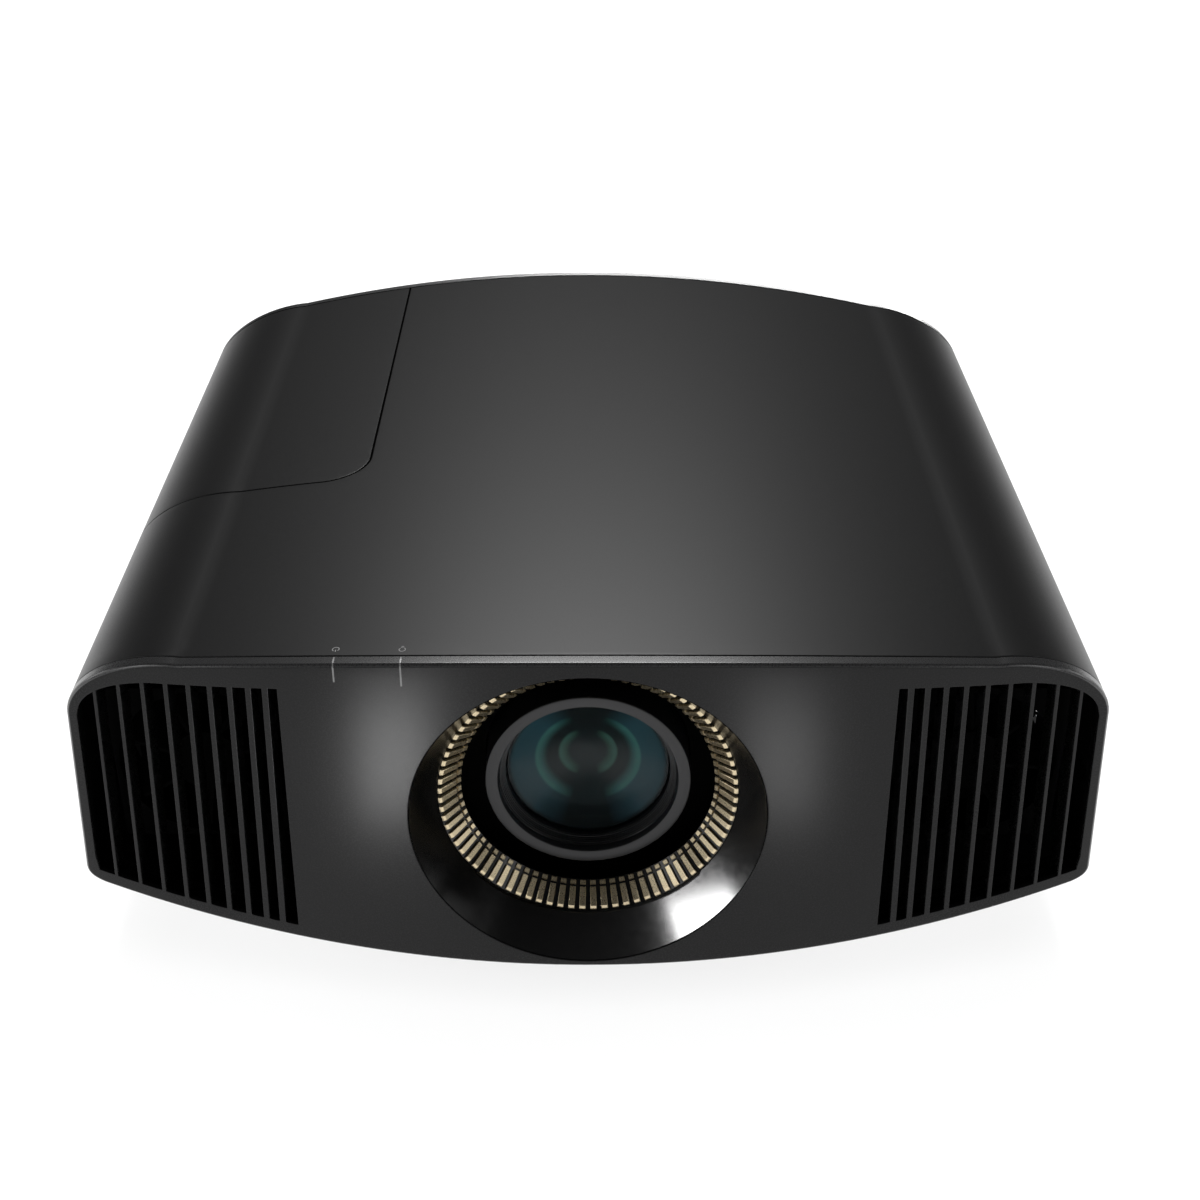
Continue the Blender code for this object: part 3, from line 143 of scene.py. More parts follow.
def noise(tree, scale, detail=2.0, stretch=(1.0, 1.0, 1.0)):
    """A noise pattern fixed to the piece; scale is in cells per metre."""
    place = tree.nodes.new("ShaderNodeTexCoord")
    mapping = tree.nodes.new("ShaderNodeMapping")
    settle(mapping, Scale=stretch)
    made = tree.nodes.new("ShaderNodeTexNoise")
    settle(made, Scale=scale, Detail=detail)
    link(tree, place.outputs["Object"], mapping.inputs["Vector"])
    link(tree, mapping.outputs["Vector"], made.inputs["Vector"])
    return made.outputs["Fac"]


def spread(tree, source, low, high):
    """Maps a 0 to 1 value onto low to high, in numbers or in colours."""
    if isinstance(low, tuple):
        made = tree.nodes.new("ShaderNodeMix")
        made.data_type = "RGBA"
        settle(made, A=(*low, 1.0), B=(*high, 1.0))
        link(tree, source, made.inputs["Factor"])
        return made.outputs["Result"]
    made = tree.nodes.new("ShaderNodeMapRange")
    settle(made, From_Min=0.3, From_Max=0.7, To_Min=low, To_Max=high)
    link(tree, source, made.inputs["Value"])
    return made.outputs["Result"]


def bump(tree, shader, source, strength, distance):
    made = tree.nodes.new("ShaderNodeBump")
    settle(made, Strength=strength, Distance=distance * MM)
    link(tree, source, made.inputs["Height"])
    link(tree, made.outputs["Normal"], shader.inputs["Normal"])


def finish(
    name, slot, dark, light, rough, metallic=0.0, grain=1400.0, relief=0.04, cloud=14.0,
    stretch=(1.0, 1.0, 1.0), **sockets,
):
    """A moulded or machined surface: soft colour clouds, uneven gloss and a fine grain in relief.

    grain and cloud are in cells per metre and relief is in millimetres; sockets are set on the shader.
    """
    made, tree, shader = nodes_of(name)
    fine = noise(tree, grain, 3.0, stretch)
    link(tree, spread(tree, noise(tree, cloud, 3.0), dark, light), shader.inputs["Base Color"])
    link(tree, spread(tree, fine, rough[0], rough[1]), shader.inputs["Roughness"])
    settle(shader, Metallic=metallic, **sockets)
    bump(tree, shader, fine, 0.35, relief)
    return made


def radius_from_axis(tree):
    """Distance from the lens axis in millimetres, and the share of it that points sideways."""
    place = tree.nodes.new("ShaderNodeTexCoord")
    split = tree.nodes.new("ShaderNodeSeparateXYZ")
    link(tree, place.outputs["Object"], split.inputs["Vector"])
    joined = tree.nodes.new("ShaderNodeCombineXYZ")
    link(tree, split.outputs["X"], joined.inputs["X"])
    link(tree, calc(tree, "SUBTRACT", split.outputs["Z"], LENS_Z * MM), joined.inputs["Z"])
    length = tree.nodes.new("ShaderNodeVectorMath")
    length.operation = "LENGTH"
    link(tree, joined.outputs["Vector"], length.inputs[0])
    sideways = calc(tree, "ABSOLUTE", split.outputs["X"])
    share = calc(tree, "DIVIDE", sideways, length.outputs["Value"])
    return calc(tree, "DIVIDE", length.outputs["Value"], MM), share


def ramp(tree, source, reach, stops):
    """Colours at distances 0 to reach, given as (distance, colour) stops."""
    made = tree.nodes.new("ShaderNodeValToRGB")
    made.color_ramp.interpolation = "EASE"
    elements = made.color_ramp.elements
    while len(elements) < len(stops):
        elements.new(0.5)
    for element, (distance, colour) in zip(elements, stops):
        element.position = distance / reach
        element.color = (*colour, 1.0)
    link(tree, calc(tree, "DIVIDE", source, reach), made.inputs["Fac"])
    return made.outputs["Color"]


def painted_reflection_material():
    """The inner lens with painted reflections: rings of teal that are strongest at the two sides."""
    made, tree, shader = nodes_of("inner_lens_reflection_paint")
    distance, sideways = radius_from_axis(tree)
    black, teal = (0.0015, 0.003, 0.004), (0.10, 0.36, 0.33)
    green, blue = (0.09, 0.25, 0.18), (0.04, 0.13, 0.17)
    # the rings of colour by distance from the lens axis are painted reflections
    stops = [(0.0, black), (8.0, black), (13.5, green), (15.0, black), (19.0, black)]
    stops += [(25.0, teal), (26.5, blue), (36.0, blue), (39.0, black)]
    colour = ramp(tree, distance, 40.0, stops)
    # the painted reflections fade to black towards the top and bottom of the lens
    reflection_share = spread(tree, sideways, 0.0, 1.0)
    mix = tree.nodes.new("ShaderNodeMix")
    mix.data_type = "RGBA"
    settle(mix, A=(*black, 1.0))
    link(tree, reflection_share, mix.inputs["Factor"])
    link(tree, colour, mix.inputs["B"])
    link(tree, mix.outputs["Result"], shader.inputs["Base Color"])
    settle(shader, Roughness=0.3, Coat_Weight=0.15, Coat_Roughness=0.05)
    return made


def ringed_material(name, colour, rough, spacing, depth):
    """Turned metal: fine grooves round the lens axis."""
    made, tree, shader = nodes_of(name)
    distance, _ = radius_from_axis(tree)
    wave = calc(tree, "SINE", calc(tree, "MULTIPLY", distance, 2 * math.pi / spacing))
    bump(tree, shader, wave, 0.3, depth)
    brighter = tuple(c * 1.25 for c in colour)
    link(tree, spread(tree, noise(tree, 30.0), colour, brighter), shader.inputs["Base Color"])
    link(tree, spread(tree, noise(tree, 900.0), rough, rough + 0.08), shader.inputs["Roughness"])
    return made


def glass_material(name, tint, alpha):
    """Thin coated glass that darkens towards its edge."""
    made, tree, shader = nodes_of(name)
    distance, _ = radius_from_axis(tree)
    stops = [(0.0, tint), (28.0, tint), (40.0, tuple(c * 0.4 for c in tint))]
    link(tree, ramp(tree, distance, 42.0, stops), shader.inputs["Base Color"])
    link(tree, spread(tree, noise(tree, 60.0), 0.015, 0.05), shader.inputs["Roughness"])
    settle(shader, Alpha=alpha, IOR=1.5, Specular_IOR_Level=0.15, Specular_Tint=(0.45, 0.8, 0.85, 1.0))
    return made


def grey(level):
    return level, level, level


CASING = finish(
    "casing_satin", "charcoal_shell", (0.007, 0.007, 0.0073), (0.0085, 0.0085, 0.0088), (0.36, 0.42),
    relief=0.012,
)
BEZEL = finish(
    "bezel_satin_paint", "bezel_satin", (0.0072, 0.0072, 0.0074), (0.0086, 0.0086, 0.0088),
    (0.25, 0.29), relief=0.012, Specular_IOR_Level=0.16,
)
# the bezel's satin again for its rim, four times lighter: the lighter colour is a painted highlight
BEZEL_LIP_HIGHLIGHT = finish(
    "painted_highlight_on_bezel_lip", "bezel_satin", (0.030, 0.030, 0.031), (0.036, 0.036, 0.037), (0.26, 0.30),
    relief=0.008, Specular_IOR_Level=1.0,
)
GLOSS = finish(
    "funnel_gloss", "gloss_black", (0.0012, 0.0012, 0.0013), grey(0.0018), (0.18, 0.22), grain=300.0,
    relief=0.002,
)
GOLD = finish(
    "champagne_gold", "gold_ring", (0.62, 0.52, 0.34), (0.74, 0.63, 0.43), (0.24, 0.36), 1.0,
    grain=2600.0, relief=0.01, stretch=(1.0, 0.2, 1.0),
)
# near-black: flocking inside the lens barrel, and painted shade on the fans behind the louvre and on the
# tongues in the seam gaps
SHADE_AND_FLOCK_BLACK = finish(
    "painted_shade_and_flock_black", "matt_black", grey(0.0008), grey(0.0014), (0.85, 0.95), relief=0.06,
    Specular_IOR_Level=0.1,
)
LENS_GREY = ringed_material("turned_lens_grey", (0.013, 0.013, 0.015), 0.34, 0.5, 0.01)
INNER_GREY = ringed_material("ridged_lens_black", (0.006, 0.006, 0.007), 0.28, 1.4, 0.10)
LENS_REFLECTION_PAINT = painted_reflection_material()
GLASS = glass_material("coated_front_glass", (0.004, 0.012, 0.014), 0.22)
GUIDE = finish(
    "light_guide_white", "light_guide", grey(0.30), grey(0.36), (0.2, 0.3), grain=500.0, relief=0.004
)
RUBBER = finish("foot_rubber", "rubber", grey(0.018), grey(0.03), (0.7, 0.85), grain=900.0, relief=0.08)
STEEL = finish(
    "zinc_steel", "steel", (0.42, 0.42, 0.43), (0.52, 0.52, 0.53), (0.26, 0.38), 1.0, grain=700.0,
    relief=0.01,
)
ALUMINIUM = finish(
    "milled_aluminium", "aluminium", (0.55, 0.55, 0.57), (0.66, 0.66, 0.68), (0.3, 0.45), 1.0,
    grain=500.0, relief=0.015, stretch=(1.0, 1.0, 0.1),
)
BRASS = finish(
    "machined_brass", "brass", (0.55, 0.40, 0.17), (0.66, 0.49, 0.22), (0.25, 0.38), 1.0, grain=900.0,
    relief=0.01,
)
RESIN = finish(
    "white_acetal", "white_resin", (0.62, 0.62, 0.58), (0.72, 0.72, 0.68), (0.4, 0.5), grain=600.0,
    relief=0.01,
)
BLACK_PLASTIC = finish(
    "moulded_black", "matt_black", grey(0.010), grey(0.016), (0.45, 0.6), grain=1100.0, relief=0.05
)
BOARD = finish(
    "solder_mask_green", "circuit_board", (0.008, 0.055, 0.025), (0.015, 0.08, 0.035), (0.3, 0.45),
    grain=260.0, relief=0.03,
)
FOAM = finish(
    "filter_foam_grey", "filter_foam", grey(0.03), grey(0.07), (0.85, 0.98), grain=420.0, relief=1.2
)
PRINT = finish("pad_print_white", "light_guide", grey(0.55), grey(0.65), (0.4, 0.5), relief=0.005)


# ---- mesh building ----
def baked(name, mesh):
    data = bpy.data.meshes.new(name)
    mesh.to_mesh(data)
    mesh.free()
    return data


def stand(name, data):
    """Puts an object into the scene."""
    made = bpy.data.objects.new(name, data)
    bpy.context.scene.collection.objects.link(made)
    return made


def piece(name, mesh, skin, body="housing", replaces=(), sharp=40.0):
    """Makes the object, shades it smooth up to a sharp angle, and lets it ride on its body."""
    bmesh.ops.recalc_face_normals(mesh, faces=mesh.faces)
    data = baked(name, mesh)
    data.materials.append(skin)
    data.shade_smooth()
    data.set_sharp_from_angle(angle=math.radians(sharp))
    made = stand(name, data)
    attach(made, body)
    if replaces:
        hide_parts(*replaces)
    return made


def even_normals(made):
    """Lets the large faces set the shading, so that rounded edges stay crisp."""
    modifier = made.modifiers.new("even_normals", "WEIGHTED_NORMAL")
    modifier.keep_sharp = True
    modifier.weight = 90
    return made


def soften(made, width=0.4, segments=2, degrees=35.0):
    modifier = made.modifiers.new("soft_edges", "BEVEL")
    modifier.width = width * MM
    modifier.segments = segments
    modifier.limit_method = "ANGLE"
    modifier.angle_limit = math.radians(degrees)
    modifier.harden_normals = True
    return made


def bridge(mesh, near, far, closed=True, material=0):
    """Quads between two rows of vertices."""
    count = len(near)
    for i in range(count if closed else count - 1):
        j = (i + 1) % count
        mesh.faces.new((near[i], near[j], far[j], far[i])).material_index = material


def loft(mesh, rings, capped=True):
    """Skins closed rings of points, and caps both ends or joins the last to the first."""
    made = [[mesh.verts.new(point(*p)) for p in ring] for ring in rings]
    for near, far in zip(made, made[1:]):
        bridge(mesh, near, far)
    if capped:
        mesh.faces.new(made[0])
        mesh.faces.new(made[-1])
    else:
        bridge(mesh, made[-1], made[0])
    return mesh


def turned(mesh, profile, centre=(0.0, LENS_Z), axis="Y", steps=128):
    """Turns (radius, place along the axis) points; a radius of 0 closes the shape on the axis."""
    order = {"X": (2, 0, 1), "Y": (0, 2, 1), "Z": (0, 1, 2)}[axis]
    rows = []
    for radius, along in profile:
        row = []
        for i in range(steps if radius > 0 else 1):
            angle = 2 * math.pi * i / steps
            parts = (centre[0] + radius * math.cos(angle), centre[1] + radius * math.sin(angle), along)
            row.append(mesh.verts.new(point(*(parts[k] for k in order))))
        rows.append(row)
    pairs = list(zip(rows, rows[1:]))
    if len(rows[0]) > 1:
        pairs.append((rows[-1], rows[0]))
    for near, far in pairs:
        if len(near) > 1 and len(far) > 1:
            bridge(mesh, near, far)
        else:
            pole, ring = (near, far) if len(near) == 1 else (far, near)
            for i in range(steps):
                mesh.faces.new((pole[0], ring[i], ring[(i + 1) % steps]))
    return mesh


def rectangle(x0, y0, x1, y1):
    return [(x0, y0), (x1, y0), (x1, y1), (x0, y1)]


def block(mesh, low, high):
    """A box between two corners."""
    corners = rectangle(*low[:2], *high[:2])
    return loft(mesh, [[(x, y, z) for x, y in corners] for z in (low[2], high[2])])


# ---- curved plates with holes ----
def area_of(loop):
    return sum(a[0] * b[1] - b[0] * a[1] for a, b in zip(loop, loop[1:] + loop[:1])) / 2


def moved(loop, distance):
    """Moves a counter-clockwise loop inwards by distance, or outwards by a negative one."""
    made = []
    count = len(loop)
    for i, here in enumerate(loop):
        before, after = Vector(loop[i - 1]), Vector(loop[(i + 1) % count])
        one, two = (Vector(here) - before).normalized(), (after - Vector(here)).normalized()
        across = Vector((-one.y - two.y, one.x + two.x))
        across /= max(0.5, across.length_squared / 2)
        made.append((here[0] + across.x * distance, here[1] + across.y * distance))
    return made


def inside(points, loop):
    """Which of an array of points lie inside a loop."""
    within = np.zeros(len(points), bool)
    for (x0, y0), (x1, y1) in zip(loop, loop[1:] + loop[:1]):
        if y0 == y1:
            continue
        crosses = (points[:, 1] > y0) != (points[:, 1] > y1)
        at = x0 + (points[:, 1] - y0) * (x1 - x0) / (y1 - y0)
        within ^= crosses & (points[:, 0] < at)
    return within


def plate(
    name, outer, holes, place, skin, edge=0.5, thick=2.5, grid=((), ()), rim=None, rounds=3,
    rim_highlight_skin=None, **how,
):
    """A plate with holes, flat in (a, b) and bent by place(a, b, depth), with rounded front edges.

    edge is the rounding of every loop, or a list with one for each. grid gives the a and b of spots that
    keep the plate's curve. rim is (depth, width) of a wall left standing behind the outer edge; a second
    material can cover that wall with a painted highlight, a lighter copy of the face's material.
    """
    loops = [loop if area_of(loop) > 0 else loop[::-1] for loop in [outer, *holes]]
    edges_of = edge if isinstance(edge, list) else [edge] * len(loops)
    signed = [edges_of[0]] + [-size for size in edges_of[1:]]
    fronts = [moved(loop, size) for loop, size in zip(loops, signed)]
    clear = (rim[1] if rim else signed[0]) + 0.6
    spots = np.array([(a, b) for a in grid[0] for b in grid[1]], float).reshape(-1, 2)
    keep = inside(spots, moved(loops[0], clear))
    for loop, size in zip(loops[1:], signed[1:]):
        keep &= ~inside(spots, moved(loop, size - 0.6))
    flat = [p for loop in fronts for p in loop] + [tuple(p) for p in spots[keep]]
    edges, start = [], 0
    for loop in fronts:
        count = len(loop)
        edges += [(start + i, start + (i + 1) % count) for i in range(count)]
        start += count
    result = delaunay_2d_cdt([Vector(p) for p in flat], edges, [], 0, 1e-5, True)
    coords, faces, origins = result[0], result[2], result[3]
    centres = np.array([[sum(coords[i][k] for i in f) / 3 for k in (0, 1)] for f in faces])
    keep = inside(centres, fronts[0])
    for loop in fronts[1:]:
        keep &= ~inside(centres, loop)
    source = [ids[0] for ids in origins]
    faces = [[source[i] for i in f] for f, k in zip(faces, keep) if k]

    mesh = bmesh.new()
    back_loops = [moved(loops[0], rim[1]) if rim else loops[0], *loops[1:]]
    back = [p for loop in back_loops for p in loop] + flat[start:]
    near = [mesh.verts.new(point(*place(a, b, 0.0))) for a, b in flat]
    far = [mesh.verts.new(point(*place(a, b, thick))) for a, b in back]
    for f in faces:
        mesh.faces.new([near[i] for i in f])
        mesh.faces.new([far[i] for i in reversed(f)])
    start = 0
    for number, (loop, size) in enumerate(zip(loops, signed)):
        count = len(loop)
        rows = [near[start : start + count]]
        for step in range(1, rounds + 1):
            turn = math.pi / 2 * step / rounds
            line = moved(loop, size * (1 - math.sin(turn)))
            depth = abs(size) * (1 - math.cos(turn))
            rows.append([mesh.verts.new(point(*place(a, b, depth))) for a, b in line])
        if number == 0 and rim:
            rows.append([mesh.verts.new(point(*place(a, b, rim[0]))) for a, b in loop])
            rows.append([mesh.verts.new(point(*place(a, b, rim[0]))) for a, b in back_loops[0]])
        rows.append(far[start : start + count])
        for level, (one, two) in enumerate(zip(rows, rows[1:])):
            bridge(mesh, one, two, material=int(bool(rim_highlight_skin) and number == 0 and level > 0))
        start += count
    loose = [v for v in mesh.verts if not v.link_faces]
    bmesh.ops.delete(mesh, geom=loose, context="VERTS")
    made = piece(name, mesh, skin, **how)
    if rim_highlight_skin:
        made.data.materials.append(rim_highlight_skin)
    return even_normals(made)


def line_between(start, end, step):
    """Points from start up to but not including end, about step apart."""
    start, end = Vector(start), Vector(end)
    count = max(1, round((end - start).length / step))
    return [tuple(start.lerp(end, i / count)) for i in range(count)]


def rounded(corners, radius, step=4.0, arc=4):
    """A closed loop through corners, each rounded off by radius, with points about step apart."""
    made = []
    count = len(corners)
    radii = radius if isinstance(radius, (list, tuple)) else [radius] * count
    for i in range(count):
        here = Vector(corners[i])
        to_last = (Vector(corners[i - 1]) - here).normalized()
        to_next = (Vector(corners[(i + 1) % count]) - here).normalized()
        half = to_last.angle(to_next) / 2
        reach = radii[i] / math.tan(half)
        centre = here + (to_last + to_next).normalized() * (radii[i] / math.sin(half))
        first, last = here + to_last * reach - centre, here + to_next * reach - centre
        sweep = math.atan2(first.x * last.y - first.y * last.x, first.dot(last))
        for k in range(arc + 1):
            turn = sweep * k / arc
            c, s = math.cos(turn), math.sin(turn)
            made.append((centre.x + first.x * c - first.y * s, centre.y + first.x * s + first.y * c))
    even = []
    for a, b in zip(made, made[1:] + made[:1]):
        even += line_between(a, b, step)
    return even


def ring_loop(radius, steps, centre):
    angles = [2 * math.pi * i / steps for i in range(steps)]
    return [(centre[0] + radius * math.cos(a), centre[1] + radius * math.sin(a)) for a in angles]


def spaced(low, high, step):
    """Numbers from low to high, both included, about step apart."""
    count = max(1, round(abs(high - low) / step))
    return [low + (high - low) * i / count for i in range(count + 1)]


# ---- the body's surfaces ----
def front_y(x):
    return -DEPTH / 2 + PLAN_BOW * x * x


def crown_z(x):
    return TOP_Z - CROWN * x * x


def belly_z(x):
    return BELLY_Z + BELLY_RISE * x * x


def bezier(a, b, c, d, t):
    s = 1 - t
    w = (s * s * s, 3 * s * s * t, 3 * s * t * t, t * t * t)
    return tuple(sum(k * p[i] for k, p in zip(w, (a, b, c, d))) for i in (0, 1))


def right_side(step=3.0):
    """The body's section in (x, z), from the middle of the top down the right side to the belly."""
    points = [(x, crown_z(x)) for x in spaced(0.0, CROWN_END_X, 2 * step)[:-1]]
    rise, power = crown_z(CROWN_END_X) - SHOULDER_Z, 2 / SHOULDER_POWER
    for i in range(25):
        t = math.pi / 2 * i / 24
        x = CROWN_END_X + (SHOULDER_X - CROWN_END_X) * math.sin(t) ** power
        points.append((x, SHOULDER_Z + rise * math.cos(t) ** power))
    low = (HALF_WIDTH, CORNER_LOW_Z)
    points += line_between(points[-1], low, step)[1:]
    corner = (CORNER_IN_X, belly_z(CORNER_IN_X))
    points += [bezier(low, (HALF_WIDTH, 56.5), (244.0, 54.4), corner, i / 8) for i in range(8)]
    points += [(x, belly_z(x)) for x in spaced(CORNER_IN_X, 0.0, 2 * step)]
    return points


RIGHT = right_side()
OUTLINE = RIGHT + [(-x, z) for x, z in reversed(RIGHT[1:-1])]


class Section:
    """A part of the body's outline measured by its length, for shells that wrap round it."""

    def __init__(self, points):
        self.points = np.array(points, float)
        steps = np.diff(self.points, axis=0)
        self.lengths = np.concatenate(([0.0], np.cumsum(np.hypot(steps[:, 0], steps[:, 1]))))
        slopes = np.gradient(self.points, axis=0)
        slopes /= np.hypot(slopes[:, 0], slopes[:, 1])[:, None]
        self.normals = np.stack((-slopes[:, 1], slopes[:, 0]), axis=1)
        self.total = self.lengths[-1]

    def at(self, length, depth):
        """The (x, z) at a length along the outline, depth inside it."""
        p = [np.interp(length, self.lengths, self.points[:, k]) for k in (0, 1)]
        n = [np.interp(length, self.lengths, self.normals[:, k]) for k in (0, 1)]
        size = math.hypot(*n)
        return p[0] - n[0] * depth / size, p[1] - n[1] * depth / size

    def length_at_x(self, x):
        """Where the shell passes x, for a shell that runs from left to right."""
        return float(np.interp(x, self.points[:, 0], self.lengths))

    def length_on_side(self, z):
        """Where the shell passes a height on its first side."""
        half = self.lengths < self.total / 4
        heights, lengths = self.points[half, 1], self.lengths[half]
        order = np.argsort(heights)
        return float(np.interp(z, heights[order], lengths[order]))


def side_x(z):
    """The half width at a height on the straight part of the side."""
    return SHOULDER_X + (HALF_WIDTH - SHOULDER_X) * (SHOULDER_Z - z) / (SHOULDER_Z - CORNER_LOW_Z)


def cut_line(points, z, above):
    """The part of a line above or below a height, ended exactly on it."""
    kept = [p for p in points if (p[1] > z) == above]
    end = [(side_x(z), z)]
    return kept + end if above else end + kept


HALF_UPPER = cut_line(RIGHT, PART_Z + SEAM / 2, True)
UPPER = Section([(-x, z) for x, z in reversed(HALF_UPPER) if x > 0] + HALF_UPPER)
HALF_LOWER = cut_line(RIGHT, PART_Z - SEAM / 2, False)
LOWER = Section(HALF_LOWER + [(-x, z) for x, z in reversed(HALF_LOWER) if x > 0])


# ---- casing ----
def wrap(section):
    """Places (length along the section, y, depth) on a shell."""

    def place(length, y, depth):
        x, z = section.at(length, depth)
        return x, y, z

    return place


def bowed_edge(section, start, end, rear, step=4.0):
    """The shell's front or rear edge, which follows the bow of the face that it meets."""
    line = []
    for length in spaced(start, end, step):
        x = section.at(length, 0.0)[0]
        y = front_y(x) + COVER_EDGE
        line.append((length, -y if rear else y))
    return line


def seam_line(section, spare):
    """The lamp cover's seam from the left side round to the rear; spare moves it off the gap's middle."""
    across = section.length_at_x(LAMP_SEAM_X) - spare
    y = LAMP_SEAM_Y + spare
    rear = -front_y(LAMP_SEAM_X) - COVER_EDGE
    radius = LAMP_SEAM_R - spare
    arc = [math.radians(-90 + 90 * i / 14) for i in range(15)]
    bend = [(across - radius + radius * math.cos(a), y + radius + radius * math.sin(a)) for a in arc]
    return line_between((0.0, y), bend[0], 4.0) + bend + line_between(bend[-1], (across, rear), 8.0)[1:]


def make_top_shells():
    """The crowned cover and the lamp cover that takes its rear left corner."""
    place = wrap(UPPER)
    grid = (spaced(0.0, UPPER.total, 4.0), spaced(-222.0, 222.0, 12.0))
    seam = seam_line(UPPER, -SEAM)
    front = bowed_edge(UPPER, 0.0, UPPER.total, False)
    rear = bowed_edge(UPPER, UPPER.total, UPPER.length_at_x(LAMP_SEAM_X) + SEAM, True)
    right = line_between(front[-1], rear[0], 10.0)[1:]
    left = line_between(seam[0], front[0], 10.0)[1:]
    outer = front + right + rear + seam[::-1] + left
    plate("top_shell", outer, [], place, CASING, edge=0.45, grid=grid, replaces=["top_cover"])

    seam = seam_line(UPPER, SEAM)
    rear = bowed_edge(UPPER, UPPER.length_at_x(LAMP_SEAM_X) - SEAM, 0.0, True)
    outer = seam + rear + line_between(rear[-1], seam[0], 10.0)[1:]
    hole = ring_loop(SCREW_HEAD_R + 0.5, 32, (UPPER.length_on_side(SCREW_Z), SCREW_PLACE_Y))
    names = {"body": "lamp_cover", "replaces": ["lamp_cover"]}
    plate("lamp_cover_shell", outer, [hole], place, CASING, edge=0.45, grid=grid, **names)


def make_lamp_seam_tongue():
    """A near-black lip under the lamp cover's seam, which the cover's edge rests on; its near-black is
    painted shade in the seam gap.
    """
    along = wrap(UPPER)
    outer = seam_line(UPPER, -4.0) + seam_line(UPPER, 4.0)[::-1]
    plate(
        "lamp_seam_tongue", outer, [], lambda a, b, depth: along(a, b, depth + 2.8), SHADE_AND_FLOCK_BLACK,
        edge=0.2, thick=1.0,
    )


def pan_loop(grow):
    """The pan's outline, grown by a distance."""
    x, y0, y1 = PAN_X + grow, PAN_FRONT_Y - grow, PAN_REAR_Y + grow
    return rounded(rectangle(-x, y0, x, y1), 14.0 + grow, 6.0, 6)


def make_bottom_shells():
    """The lower shell, with the openings for the side panel and the filter, and the pan under it."""
    half = LOWER.total / 2
    belly = [p for p in RIGHT if p[1] <= belly_z(CORNER_IN_X) + 0.01][::-1]
    middle = Section(belly)

    def across(x):
        """Length along the shell at a place on the belly; the shell runs from right to left."""
        return half - math.copysign(middle.length_at_x(abs(x)), x)

    def side_hole(ys, zs, left):
        ends = [LOWER.length_on_side(z) for z in zs]
        ends = [LOWER.total - end for end in ends] if left else ends
        low, high = sorted(ends)
        return rounded(rectangle(low, ys[0], high, ys[1]), 2.0, 5.0, 4)

    holes = [
        side_hole(SIDE_PANEL_Y, SIDE_PANEL_Z, False),
        side_hole(FILTER_Y, FILTER_Z, True),
        [(across(x), y) for x, y in pan_loop(-1.0)],
    ]
    front = bowed_edge(LOWER, 0.0, LOWER.total, False)
    rear = bowed_edge(LOWER, LOWER.total, 0.0, True)
    left = line_between(front[-1], rear[0], 10.0)[1:]
    right = line_between(rear[-1], front[0], 10.0)[1:]
    outer = front + left + rear + right
    grid = (spaced(0.0, LOWER.total, 5.0), spaced(-222.0, 222.0, 14.0))
    plate("bottom_shell", outer, holes, wrap(LOWER), CASING, edge=0.45, grid=grid, replaces=["bottom_case"])

    def tray(x, y, depth):
        """The pan flares out to its full size over its first rise and ends just inside the belly."""
        middle_y = (PAN_FRONT_Y + PAN_REAR_Y) / 2
        grow = 1 + PAN_DRAFT / PAN_X * min(depth, PAN_FLARE_DEPTH) / PAN_FLARE_DEPTH
        z = min(PAN_Z + depth, belly_z(x) + 2.0)
        return x * grow, middle_y + (y - middle_y) * grow, z

    feet = [ring_loop(FOOT_SHANK_R + 0.4, 32, (side * FOOT_X, FOOT_FRONT_Y)) for side in (-1, 1)]
    screws = [ring_loop(2.4, 24, (side * CASE_SCREW_X, 0.0)) for side in (-1, 1)]
    vents = []
    for side in (-1, 1):
        x0, x1 = sorted(side * x for x in PAN_VENT_X)
        for i in range(PAN_VENTS):
            y = PAN_VENT_Y + PAN_VENT_STEP * i
            vents.append(rounded(rectangle(x0, y - 1.3, x1, y + 1.3), 1.25, 6.0, 4))
    grid = (spaced(-PAN_X, PAN_X, 30.0), spaced(PAN_FRONT_Y, PAN_REAR_Y, 30.0))
    rim = (40.0, 3.0)
    edges = [1.5] + [0.3] * (len(feet) + len(screws) + len(vents))
    plate(
        "bottom_pan", pan_loop(-PAN_DRAFT), feet + screws + vents, tray, CASING, edge=edges,
        grid=grid, rim=rim,
    )


# ---- front and rear faces ----
OPENING_TOP = [(138.5, 184.6)] + [
    bezier((198.5, 180.0), (217.0, 177.5), (235.5, 169.5), (237.2, 155.0), i / 12) for i in range(13)
]
OPENING_SIDE = [(237.2, 155.0), (241.6, 68.0), (240.8, 63.5)]
OPENING_INNER = [(138.5, 184.6), (141.2, 44.0)]


def fin_edges():
    """x of both edges of each fin at FLARE_Z, from the outer one in; the gaps close up towards the lens."""
    places, x = [], 240.3
    for i in range(FINS):
        x -= 3.8 + 6.79 * (1 - (i / FINS) ** 1.5)
        width = 1.7 + 0.17 * i
        places.append((x, x - width))
        x -= width
    return places


def lean(place):
    """A fin's edge as x at a height."""
    return lambda z: place * (1 + SIDE_FLARE * (FLARE_Z - z))


def side_wall(z):
    heights = [p[1] for p in OPENING_SIDE[::-1]]
    return float(np.interp(z, heights, [p[0] for p in OPENING_SIDE[::-1]]))


def inner_wall(z):
    (x0, z0), (x1, z1) = OPENING_INNER
    return x0 + (x1 - x0) * (z0 - z) / (z0 - z1)


def ceiling(x):
    return float(np.interp(x, [p[0] for p in OPENING_TOP], [p[1] for p in OPENING_TOP]))


def opening_floor(x):
    return belly_z(x) + FLOOR_RISE


def meet(line, level):
    """Where a leaning edge meets the opening's ceiling or floor."""
    z = level(line(FLARE_Z))
    for _ in range(6):
        z = level(line(z))
    return line(z), z


